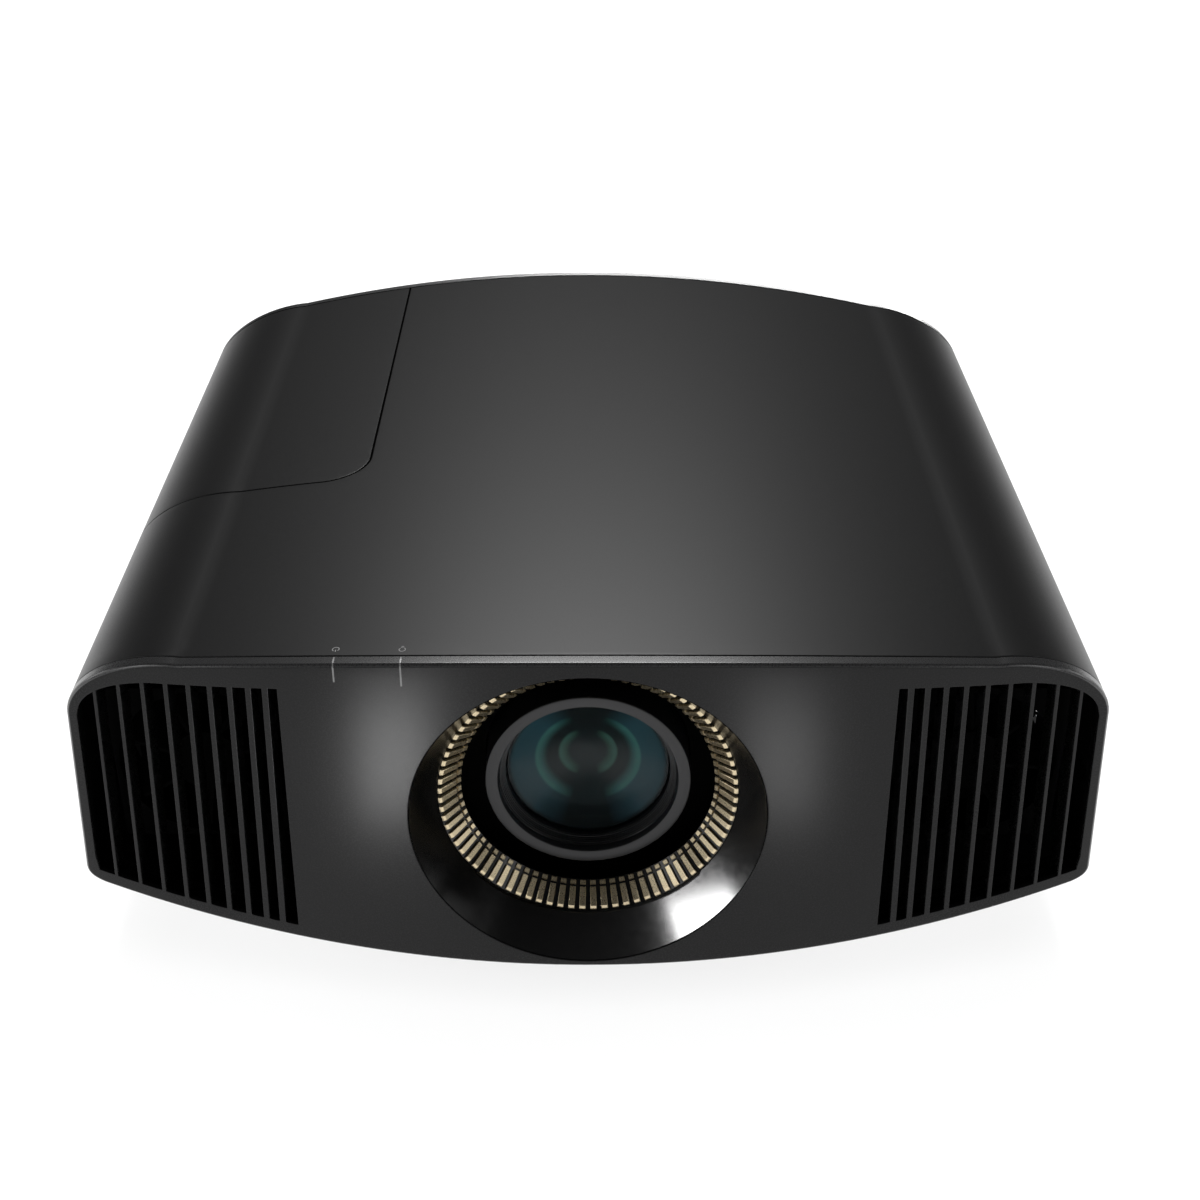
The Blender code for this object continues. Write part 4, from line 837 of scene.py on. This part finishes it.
def slot_loop(outer, inner):
    """One gap of the louvre, between two edges given as x at a height."""
    outer_top, inner_top = meet(outer, ceiling), meet(inner, ceiling)
    outer_low, inner_low = meet(outer, opening_floor), meet(inner, opening_floor)
    top = [(x, ceiling(x)) for x in spaced(inner_top[0], outer_top[0], 1.5)]
    low = [(x, opening_floor(x)) for x in spaced(outer_low[0], inner_low[0], 2.5)]
    runs = ((outer, outer_top, outer_low), (inner, inner_low, inner_top))
    down, up = [[(edge(z), z) for z in spaced(a[1], b[1], 4.0)[1:-1]] for edge, a, b in runs]
    return top + down + low + up


def louvre_slots():
    fins = fin_edges()
    edges = [side_wall] + [lean(x) for pair in fins for x in pair] + [inner_wall]
    gaps = [slot_loop(edges[i], edges[i + 1]) for i in range(0, len(edges), 2)]
    return [[(side * x, z) for x, z in gap] for side in (-1, 1) for gap in gaps]


def bow_front(x, z, depth):
    return x, front_y(x) + depth, z


def bow_rear(x, z, depth):
    return x, -front_y(x) - depth, z


def make_bezel():
    """The bowed fascia: louvre gaps, the round lens opening and a rim that runs back to the seam."""
    slots = louvre_slots()
    lens = ring_loop(FUNNEL_R + 0.05, 160, (0.0, LENS_Z))
    grid = (spaced(-244.0, 244.0, 4.0), spaced(30.0, 202.0, 8.0))
    edges = [FACE_EDGE] + [0.35] * len(slots) + [0.55]
    # the rim takes the lighter copy of the satin as a painted highlight
    plate(
        "bezel_face", OUTLINE, [*slots, lens], bow_front, BEZEL, edge=edges, grid=grid,
        rim=(LIP, 2.6), rounds=5, rim_highlight_skin=BEZEL_LIP_HIGHLIGHT, replaces=["front_bezel"],
    )


def make_seam_bands():
    """Near-black tongues behind the seams, which the shells' edges rest on; their near-black is painted
    shade in the seam gaps.
    """
    ring = OUTLINE if area_of(OUTLINE) > 0 else OUTLINE[::-1]
    outer, inner = moved(ring, 2.75), moved(ring, 3.9)
    for name, place in (("front_seam_tongue", bow_front), ("rear_seam_tongue", bow_rear)):
        rows = [(outer, LIP - 1.0), (outer, LIP + 5.0), (inner, LIP + 5.0), (inner, LIP - 1.0)]
        rings = [[place(x, z, depth) for x, z in line] for line, depth in rows]
        piece(name, loft(bmesh.new(), rings, capped=False), SHADE_AND_FLOCK_BLACK)


def make_louvre_blades():
    """The fins behind the bezel's bars, tied by a rail at top and bottom."""
    for side, name in ((-1, "left"), (1, "right")):
        mesh = bmesh.new()
        for outer, inner in fin_edges():
            rings = []
            for level, spare in ((opening_floor, 0.4), (ceiling, -0.4)):
                ring = []
                a, b = outer - 0.15, inner + 0.15
                for edge, depth in ((a, 2.6), (a, BLADE_DEPTH), (b, BLADE_DEPTH), (b, 2.6)):
                    x, z = meet(lean(edge), level)
                    ring.append((side * x, front_y(x) + depth, z + spare))
                rings.append(ring)
            loft(mesh, rings)
        for level, low, high in ((ceiling, -1.0, 2.0), (opening_floor, -2.0, 1.0)):
            rings = []
            for x in spaced(141.0, 235.0, 6.0):
                y0, y1, z = front_y(x) + BLADE_DEPTH - 4.0, front_y(x) + BLADE_DEPTH, level(x)
                rings.append([(side * x, y, z + h) for y, h in rectangle(y0, low, y1, high)])
            loft(mesh, rings)
        made = piece(f"louvre_blades_{name}", mesh, BEZEL, replaces=[f"louvre_{name}"])
        soften(made, 0.2, 2)


def make_indicator_guides():
    """Two light guides that fold over the bezel's top edge; each ends flush with its surface."""
    for name, x in zip(("indicator_power", "indicator_warning"), INDICATOR_X):
        half, top = GUIDE_WIDTH / 2, crown_z(x)
        bend = [
            (FACE_EDGE * (1 - math.cos(t)), FACE_EDGE * (1 - math.sin(t)))
            for t in (0.0, 0.5, 1.0, math.pi / 2)
        ]
        outer = [(front_y(x) - 0.02, INDICATOR_LOW_Z)]
        outer += [(front_y(x) - 0.02 + a, top + 0.03 - b) for a, b in bend]
        outer += [(front_y(x) + LIP - 0.3, top + 0.03)]
        inner = [
            (front_y(x) + LIP - 0.3, top - 0.5), (front_y(x) + 2.2, top - 2.2),
            (front_y(x) + 0.6, INDICATOR_LOW_Z),
        ]
        ring = [(y + 0.02, min(z, top)) for y, z in outer] + inner
        rings = [[(side, y - 0.04, z + 0.03) for y, z in ring] for side in (x - half, x + half)]
        piece(f"{name}_guide", loft(bmesh.new(), rings), GUIDE, replaces=[name])


def make_rear():
    """The bowed rear cover, with its air slots and the mains inlet's opening."""
    holes = []
    low, high = REAR_SLOT_Z
    for x in REAR_SLOTS:
        a, b = x - REAR_SLOT_HALF, x + REAR_SLOT_HALF
        holes.append(rounded(rectangle(a, low, b, high), 3.4, 5.0, 6))
    a, b = INLET_X - INLET_HALF_X, INLET_X + INLET_HALF_X
    c, d = INLET_Z - INLET_HALF_Z, INLET_Z + INLET_HALF_Z
    holes.append(rounded(rectangle(a, c, b, d), 2.0, 4.0, 4))
    edges = [FACE_EDGE] + [0.6] * len(holes)
    grid = (spaced(-244.0, 244.0, 5.0), spaced(30.0, 202.0, 10.0))
    plate(
        "rear_face", OUTLINE, holes, bow_rear, CASING, edge=edges, grid=grid,
        rim=(LIP, 2.6), rounds=5, replaces=["rear_panel"],
    )
    face = -front_y(INLET_X) - 0.5
    for number, (dx, dz) in enumerate(((-7.0, -2.0), (0.0, 3.0), (7.0, -2.0))):
        x, z = INLET_X + dx, INLET_Z + dz
        sleeve = block(bmesh.new(), (x - 1.1, face - 15.9, z - 2.1), (x + 1.1, face - 5.6, z + 2.1))
        soften(piece(f"inlet_pin_{number + 1}", sleeve, STEEL), 0.3)


# ---- lens opening ----
def make_funnel():
    """The glossy black bell from the bezel's face down to the gold ring."""
    rings = []
    for i in range(192):
        angle = 2 * math.pi * i / 192
        across, up = math.cos(angle), math.sin(angle)
        rim, throat = FUNNEL_R - 0.3, RING_OUTER_R + 0.3
        lip_y, throat_y = front_y(rim * across) + 0.5, RING_OUTER_Y - 0.6
        section = []
        for step in range(17):
            share = step / 16
            section.append((rim + (throat - rim) * share, lip_y + (throat_y - lip_y) * share))
        section += [(throat, RING_OUTER_Y + 4.0), (throat + 2.0, RING_OUTER_Y + 4.0), (rim, lip_y + 7.0)]
        rings.append([(r * across, y, LENS_Z + r * up) for r, y in section])
    piece(
        "funnel_bell", loft(bmesh.new(), rings, capped=False), GLOSS, replaces=["lens_funnel"], sharp=30.0
    )


def make_gold_ring():
    """The comb of gilt ribs on a black cone; each rib has a bead at its inner end."""
    outer = Vector((RING_OUTER_R, RING_OUTER_Y))
    run = Vector((RING_INNER_R, RING_INNER_Y)) - outer
    length = run.length
    along = run / length
    up = Vector((-along.y, along.x))  # off the cone, towards the lens axis and the front
    mesh = bmesh.new()
    pitch = 2 * math.pi / RING_TEETH
    body = [
        (0.15, 0.0), (0.5, 0.55), (1.7, TOOTH_HEIGHT), (TOOTH_GAP_START - 0.3, TOOTH_HEIGHT),
        (TOOTH_GAP_START, 0.3),
    ]
    bead = [(TOOTH_GAP_END, 0.1), (TOOTH_GAP_END + 0.3, 0.8), (length - 0.7, 0.9), (length - 0.2, 0.3)]
    for i in range(RING_TEETH):
        angle = pitch * (i + 0.5)
        c, s = math.cos(angle), math.sin(angle)
        for stations in (body, bead):
            rings = []
            for reach, height in stations:
                base = outer + along * reach - up * 0.2
                top = outer + along * reach + up * height
                half = base.x * pitch * TOOTH_SHARE / 2
                flank = top - up * 0.15
                outline = [(base, -half), (base, half), (flank, half - 0.12)]
                outline += [(top, half - 0.3), (top, 0.3 - half), (flank, 0.12 - half)]
                rings.append([(p.x * c - to * s, p.y, LENS_Z + p.x * s + to * c) for p, to in outline])
            loft(mesh, rings)
    piece("gilt_ribs", mesh, GOLD, replaces=["gold_ring"], sharp=28.0)
    back = outer - up * 1.4
    end = outer + run - up * 1.4
    profile = [tuple(outer), tuple(outer + run), tuple(end), tuple(back)]
    piece("rib_backing_cone", turned(bmesh.new(), profile, steps=160), GLOSS)


def make_front_cell():
    """The focusing cell: a satin ring, a ridged cone, the domed glass and the inner lens behind it, with
    its painted reflections.
    """
    front = CELL_FRONT_Y
    section = [
        (49.2, -158.0), (49.2, front + 0.7), (48.9, front + 0.2), (48.4, front), (44.0, front + 0.35),
        (43.3, front + 0.6), (43.0, front + 1.1), (42.9, front + 4.4), (46.0, front + 5.0), (46.0, -158.0),
    ]
    names = {"body": "front_cell", "sharp": 30.0}
    piece("front_lens_ring", turned(bmesh.new(), section), LENS_GREY, replaces=["front_lens_cell"], **names)
    start, end = Vector((42.7, front + 4.6)), Vector((GLASS_R + 0.5, GLASS_EDGE_Y - 0.6))
    cone = [(45.9, front + 5.3), (42.7, front + 4.6)]
    ridges = 6
    for i in range(ridges):
        a, b = start.lerp(end, i / ridges), start.lerp(end, (i + 1) / ridges)
        cone += [tuple(a.lerp(b, 0.45) + Vector((0.0, -0.16))), (b.x + 0.05, b.y - 0.02), (b.x, b.y + 0.22)]
    cone += [(GLASS_R + 0.35, GLASS_EDGE_Y + 0.6), (GLASS_R + 0.35, -160.0), (45.9, -160.0)]
    piece("front_lens_ridged_cone", turned(bmesh.new(), cone), INNER_GREY, **names)

    dome = [(GLASS_R * i / 20, GLASS_EDGE_Y - GLASS_DOME * (1 - (i / 20) ** 2)) for i in range(21)]
    back_y, back_dome = GLASS_EDGE_Y + 1.6, GLASS_DOME - 2.5
    back = [(GLASS_R * i / 20, back_y - back_dome * (1 - (i / 20) ** 2)) for i in range(20, -1, -1)]
    piece(
        "front_glass_dome", turned(bmesh.new(), dome + back), GLASS, replaces=["front_lens_glass"], **names
    )

    bowl = [(0.0, BOWL_Y)]
    bowl += [(2.0 * i, BOWL_Y - BOWL_DEPTH * (i / 19) ** 1.6) for i in range(1, 20)]
    bowl += [(GLASS_R - 0.2, BOWL_Y - BOWL_DEPTH), (GLASS_R - 0.2, BOWL_BACK_Y), (0.0, BOWL_BACK_Y)]
    # the inner lens's teal rings are painted reflections
    piece("inner_lens_with_painted_reflections", turned(bmesh.new(), bowl), LENS_REFLECTION_PAINT, **names)


# ---- feet, screws and keys ----
def carve(made, cutter):
    """Cuts a shape from a piece and keeps the result as its mesh."""
    bmesh.ops.recalc_face_normals(cutter, faces=cutter.faces)
    tool = stand("cutter", baked("cutter", cutter))
    modifier = made.modifiers.new("carve", "BOOLEAN")
    modifier.object = tool
    bpy.context.view_layer.update()
    result = bpy.data.meshes.new_from_object(made.evaluated_get(bpy.context.evaluated_depsgraph_get()))
    made.modifiers.clear()
    made.data = result
    bpy.data.objects.remove(tool)
    made.data.set_sharp_from_angle(angle=math.radians(35.0))
    return made


def cross_recess(place, reach, near, far):
    """A cross for a screwdriver; place turns (a, b, level) into (x, y, z)."""
    arm, half = reach, reach * 0.22
    corners, outline = [(half, half), (half, arm), (-half, arm)], []
    for _ in range(4):
        outline += corners
        corners = [(-b, a) for a, b in corners]
    return loft(bmesh.new(), [[place(a, b, level) for a, b in outline] for level in (near, far)])


def make_screws():
    """The captive screw of the lamp cover and the two case screws under the pan."""
    outer = -side_x(SCREW_Z)
    profile = [
        (0.0, outer + 9.0), (2.2, outer + 9.0), (2.2, outer - 0.2), (SCREW_HEAD_R, outer - 0.2),
        (SCREW_HEAD_R, outer - 1.1), (SCREW_HEAD_R - 0.7, outer - 1.8), (0.0, outer - 2.0),
    ]
    mesh = turned(bmesh.new(), profile, (SCREW_PLACE_Y, SCREW_Z), "X", 48)
    made = piece("lamp_cover_screw_head", mesh, STEEL, body="lamp_cover", replaces=["lamp_cover_screw"])
    recess = cross_recess(
        lambda a, b, x: (x, SCREW_PLACE_Y + a, SCREW_Z + b), 2.6, outer - 3.0, outer - 0.9
    )
    carve(made, recess)
    for side, name in ((-1, "left"), (1, "right")):
        x = side * CASE_SCREW_X
        profile = [(0.0, 7.6), (3.2, 7.7), (4.0, 8.3), (4.2, 9.6), (2.0, 9.6), (2.0, 24.0), (0.0, 24.0)]
        mesh = turned(bmesh.new(), profile, (x, 0.0), "Z", 48)
        made = piece(f"case_screw_{name}_head", mesh, STEEL, replaces=[f"case_screw_{name}"])
        carve(made, cross_recess(lambda a, b, z, x=x: (x + a, b, z), 2.4, 6.0, 8.9))


def make_feet():
    """The front feet, knurled wheels on a screw over a rubber pad, and the moulded rubber rear feet."""
    for side, name in ((-1, "left"), (1, "right")):
        x = side * FOOT_X
        rings = []
        steps = 96
        outline = [
            (1.0, 3.35), (11.6, 3.3), (13.3, 3.9), (14.0, 4.8), (14.0, 8.0), (13.2, 8.9), (12.0, 9.2)
        ]
        outline += [(FOOT_SHANK_R, 9.3), (FOOT_SHANK_R, 38.0), (3.0, 39.8), (1.0, 40.0)]
        for radius, z in outline:
            ring = []
            for i in range(steps):
                notch = 0.55 if radius > 13.5 and i % 4 < 2 else 0.0
                angle, reach = 2 * math.pi * i / steps, radius - notch
                ring.append((x + reach * math.cos(angle), FOOT_FRONT_Y + reach * math.sin(angle), z))
            rings.append(ring)
        names = {"body": f"foot_{name}_screw", "replaces": [f"front_foot_{name}"]}
        piece(f"front_foot_{name}_wheel", loft(bmesh.new(), rings), BLACK_PLASTIC, **names)
        pad = [(0.0, 0.0), (9.6, 0.0), (10.6, 0.35), (11.0, 1.1), (11.0, 2.8), (10.8, 3.0), (0.0, 3.0)]
        names = {"body": f"foot_{name}_pad", "replaces": [f"front_foot_{name}_pad"]}
        piece(
            f"front_foot_{name}_sole", turned(bmesh.new(), pad, (x, FOOT_FRONT_Y), "Z", 64), RUBBER, **names
        )
        rear = [
            (0.0, 0.6), (7.0, 0.6), (7.6, 0.0), (10.6, 0.0), (11.4, 0.5), (12.9, 9.2), (12.9, 9.7),
            (0.0, 9.7),
        ]
        mesh = turned(bmesh.new(), rear, (x, FOOT_REAR_Y), "Z", 64)
        piece(f"rear_foot_{name}_moulding", mesh, RUBBER, replaces=[f"rear_foot_{name}"])


def arc_loop(radius, width, start, end, centre=(0.0, 0.0)):
    """A band bent round a centre, from one angle in degrees to another."""
    angles = [math.radians(a) for a in spaced(start, end, 12.0)]
    outer, inner = [
        [(centre[0] + r * math.cos(a), centre[1] + r * math.sin(a)) for a in angles]
        for r in (radius + width / 2, radius - width / 2)
    ]
    return outer + inner[::-1]


def printed(name, loops, place, body):
    """Thin raised ink in the shape of closed loops; place turns (a, b, height) into (x, y, z)."""
    mesh = bmesh.new()
    for loop in loops:
        loft(mesh, [[place(a, b, height) for a, b in loop] for height in (-0.05, 0.04)])
    piece(name, mesh, PRINT, body=body)


def triangle(a, b, size, turn):
    """A small arrow head that points the way given in degrees."""
    angles = [math.radians(turn + step) for step in (0.0, 140.0, 220.0)]
    return [(a + size * math.cos(t), b + size * math.sin(t)) for t in angles]


POWER_MARK = [arc_loop(1.5, 0.4, 125.0, 415.0), rectangle(-0.2, 0.5, 0.2, 2.0)]
INPUT_MARK = [
    rectangle(-2.0, -0.2, 0.2, 0.2), triangle(0.9, 0.0, 1.1, 0.0), arc_loop(1.9, 0.35, -70.0, 70.0)
]
MENU_MARK = [rectangle(-1.7, level, 1.7, level + 0.4) for level in (-1.4, -0.2, 1.0)]
LAMP_MARK = [arc_loop(1.4, 0.35, -50.0, 230.0, (0.0, 0.5))]
LAMP_MARK += [rectangle(-0.8, -1.5, 0.8, -1.15), rectangle(-0.5, -2.2, 0.5, -1.85)]


def make_keys():
    """The keys on the side panel, dished, with generic marks for power, input, menu and directions."""
    marks = {"power_button": POWER_MARK, "input_button": INPUT_MARK, "menu_button": MENU_MARK}
    x0 = PANEL_BACK_X
    for name, y in KEY_Y.items():
        dish = [(0.0, KEY_TOP - 0.25), (2.6, KEY_TOP - 0.2), (3.6, KEY_TOP)]
        rim = [(4.1, KEY_TOP - 0.08), (KEY_R, KEY_TOP - 0.6), (KEY_R, x0 - 1.2)]
        flange = [(5.5, x0 - 1.2), (5.5, x0 - 2.2), (0.0, x0 - 2.2)]
        mesh = turned(bmesh.new(), dish + rim + flange, (y, KEY_Z), "X", 56)
        piece(f"{name}_cap", mesh, BLACK_PLASTIC, body=name, replaces=[name])
        printed(
            f"{name}_mark", marks[name], lambda a, b, h, y=y: (KEY_TOP - 0.2 + h, y + a, KEY_Z + b), name
        )
    ring = [(5.4, PAD_TOP - 0.3), (6.2, PAD_TOP), (10.4, PAD_TOP - 0.2), (11.1, PAD_TOP - 0.6)]
    ring += [(11.4, PAD_TOP - 1.3), (11.4, x0 - 1.5), (5.4, x0 - 1.5)]
    mesh = turned(bmesh.new(), ring, (PAD_Y, KEY_Z), "X", 72)
    piece("direction_pad_ring", mesh, BLACK_PLASTIC, body="direction_pad", replaces=["direction_pad"])
    turns = (0.0, math.pi / 2, math.pi, -math.pi / 2)
    arrows = [triangle(8.4 * math.cos(t), 8.4 * math.sin(t), 1.1, math.degrees(t)) for t in turns]
    on_pad = lambda a, b, h: (PAD_TOP - 0.09 + h, PAD_Y + a, KEY_Z + b)
    printed("direction_pad_arrows", arrows, on_pad, "direction_pad")
    enter = [(0.0, ENTER_TOP - 0.2), (3.2, ENTER_TOP), (4.3, ENTER_TOP - 0.2)]
    enter += [(4.8, ENTER_TOP - 0.8), (4.8, x0 - 1.5), (0.0, x0 - 1.5)]
    mesh = turned(bmesh.new(), enter, (PAD_Y, KEY_Z), "X", 56)
    piece("enter_button_cap", mesh, BLACK_PLASTIC, body="enter_button", replaces=["enter_button"])


def make_contacts():
    """The tongues of the HDMI sockets and the sprung wires of the network socket."""
    for number, y in enumerate(HDMI_Y):
        tongue = block(bmesh.new(), (229.4, y - 5.2, 84.1), (236.8, y + 5.2, 85.1))
        soften(piece(f"hdmi_tongue_{number + 1}", tongue, BLACK_PLASTIC), 0.15)
    wires = bmesh.new()
    wire = rectangle(-0.2, -0.15, 0.2, 0.15)
    for i in range(LAN_WIRES):
        y = LAN_Y + (i - (LAN_WIRES - 1) / 2) * LAN_PITCH
        path = [(226.4, 88.9), (231.0, 88.7), (234.6, 86.6), (236.6, 85.9)]
        loft(wires, [[(x, y + dy, z + dz) for dy, dz in wire] for x, z in path])
    piece("lan_contacts", wires, BRASS)


def make_top_marks():
    """Generic marks for power and lamp, behind the two indicator lines."""
    for name, x, mark in zip(("power", "lamp"), INDICATOR_X, (POWER_MARK, LAMP_MARK)):
        y = front_y(x) + COVER_EDGE + 5.0
        on_cover = lambda a, b, h, x=x, y=y: (x - a, y - b, crown_z(x - a) + h)
        printed(f"indicator_mark_{name}", mark, on_cover, "housing")


make_top_shells()
make_lamp_seam_tongue()
make_bottom_shells()
make_bezel()
make_seam_bands()
make_louvre_blades()
make_indicator_guides()
make_rear()
make_funnel()
make_gold_ring()
make_front_cell()
make_screws()
make_feet()
make_keys()
make_contacts()
make_top_marks()


# ---- the CAD nodes that keep their own shape ----
# by material and the width of its softened edges, in millimetres
KEPT = [
    (BLACK_PLASTIC, 0.5, ["ac_inlet"]),
    (BLACK_PLASTIC, 0.4, ["connector_panel"]),
    (STEEL, 0.25, ["hdmi_socket_pair", "lan_socket"]),
    (CASING, 0.5, ["filter_cover"]),
    (FOAM, 0.5, ["air_filter"]),
    (SHADE_AND_FLOCK_BLACK, 0.4, ["lens_barrel"]),
    (GLASS, 0.3, ["zoom_lens_group"]),
    (RESIN, 0.15, ["focus_ring", "zoom_ring"]),
    (BRASS, 0.1, ["focus_pinion", "zoom_pinion"]),
    (STEEL, 0.4, ["focus_motor", "zoom_motor"]),
    (ALUMINIUM, 0.5, ["vertical_shift_plate"]),
    (ALUMINIUM, 0.6, ["lens_mount_plate"]),
    (STEEL, 0.2, ["vertical_lead_screw", "horizontal_lead_screw"]),
    (STEEL, 0.5, ["vertical_shift_motor", "horizontal_shift_motor"]),
    (ALUMINIUM, 0.4, ["chassis_plate", "panel_module_red", "panel_module_green", "panel_module_blue"]),
    (BLACK_PLASTIC, 1.0, ["optical_engine"]),
    (BLACK_PLASTIC, 0.9, ["lamp_housing"]),
    (ALUMINIUM, 0.3, ["lamp_reflector"]),
    (BOARD, 0.3, ["main_board", "power_supply_board"]),
    # the fans behind the louvre are near-black as painted shade
    (SHADE_AND_FLOCK_BLACK, 0.6, ["fan_frame_left", "fan_frame_right"]),
    (SHADE_AND_FLOCK_BLACK, 0.3, ["fan_impeller_left", "fan_impeller_right"]),
]
for skin, width, nodes in KEPT:
    for node in nodes:
        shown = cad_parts[node]
        shown.data.materials.clear()
        shown.data.materials.append(skin)
        soften(shown, width)


# ---- floor, lights and camera ----
def make_floor():
    mesh = bmesh.new()
    corners = rectangle(-FLOOR_HALF, -FLOOR_HALF, FLOOR_HALF, FLOOR_HALF)
    mesh.faces.new([mesh.verts.new(point(x, y, FLOOR_Z)) for x, y in corners])
    data = baked("floor", mesh)
    data.materials.append(
        finish("pale_floor", None, grey(0.86), grey(0.90), (0.75, 0.85), grain=40.0, relief=0.02, cloud=1.5)
    )
    stand("floor", data)


def lit_only(light, name):
    """Flags the light off from everything but one piece."""
    lit = bpy.data.collections.new(f"lit_by_{light.name}")
    lit.objects.link(bpy.data.objects[name])
    light.light_linking.receiver_collection = lit


def area_light(name, place, target, size, watts, only=None):
    """A rectangular light that the camera doesn't see, aimed at a target."""
    data = bpy.data.lights.new(name, "AREA")
    data.shape = "RECTANGLE"
    data.size, data.size_y = size[0] * MM, size[1] * MM
    data.energy = watts
    made = stand(name, data)
    made.location = point(*place)
    made.rotation_euler = (point(*target) - point(*place)).to_track_quat("-Z", "Y").to_euler()
    made.visible_camera = False
    if only:
        lit_only(made, only)


def floor_wash():
    """A broad light flagged off from the projector, so that the floor stays white and the casing dark."""
    data = bpy.data.lights.new("floor_wash", "SUN")
    data.energy = WASH_STRENGTH
    data.angle = 1.0
    made = stand("floor_wash", data)
    lit_only(made, "floor")
    made.light_linking.blocker_collection = made.light_linking.receiver_collection


def make_lights():
    """A soft light high behind, fills all round, and small flagged lights for the face and the bell."""
    world = bpy.context.scene.world or bpy.data.worlds.new("studio")
    bpy.context.scene.world = world
    world.use_nodes = True
    ground = world.node_tree.nodes["Background"]
    settle(ground, Color=(1.0, 1.0, 1.0, 1.0), Strength=WORLD_STRENGTH)
    area_light("back_high", (0.0, 1500.0, 2100.0), (0.0, 0.0, 200.0), (900.0, 700.0), BACK_WATTS)
    rear_size, flank_size = (1400.0, 700.0), (1500.0, 800.0)
    area_light("rear_fill", (500.0, 2400.0, 500.0), (0.0, 230.0, 110.0), rear_size, REAR_WATTS, "rear_face")
    for side, name in ((-1, "left"), (1, "right")):
        place, target = (side * 140.0, -380.0, 12.0), (side * 86.0, -226.0, 128.0)
        area_light(f"glow_{name}", place, target, (50.0, 100.0), GLOW_WATTS[name], "bezel_face")
        place, target = (side * 1500.0, -900.0, 900.0), (0.0, -200.0, LENS_Z)
        area_light(f"side_{name}", place, target, (700.0, 500.0), SIDE_WATTS[name])
        place, target = (side * 2300.0, 400.0, 700.0), (0.0, 0.0, LENS_Z)
        area_light(f"flank_{name}", place, target, flank_size, FLANK_WATTS)
    place, target = (-520.0, -330.0, 300.0), (0.0, -215.0, LENS_Z)
    area_light("funnel_light", place, target, (200.0, 400.0), FUNNEL_WATTS, "funnel_bell")


def make_camera():
    data = bpy.data.cameras.new("camera")
    data.sensor_width = SENSOR
    data.lens = LENS_LENGTH
    data.shift_x = LENS_SHIFT
    made = stand("camera", data)
    made.location = point(*CAMERA_PLACE)
    made.rotation_euler = (math.radians(CAMERA_TILT), 0.0, 0.0)
    bpy.context.scene.camera = made


bpy.context.scene.view_settings.view_transform = "Standard"
make_floor()
floor_wash()
make_lights()
make_camera()
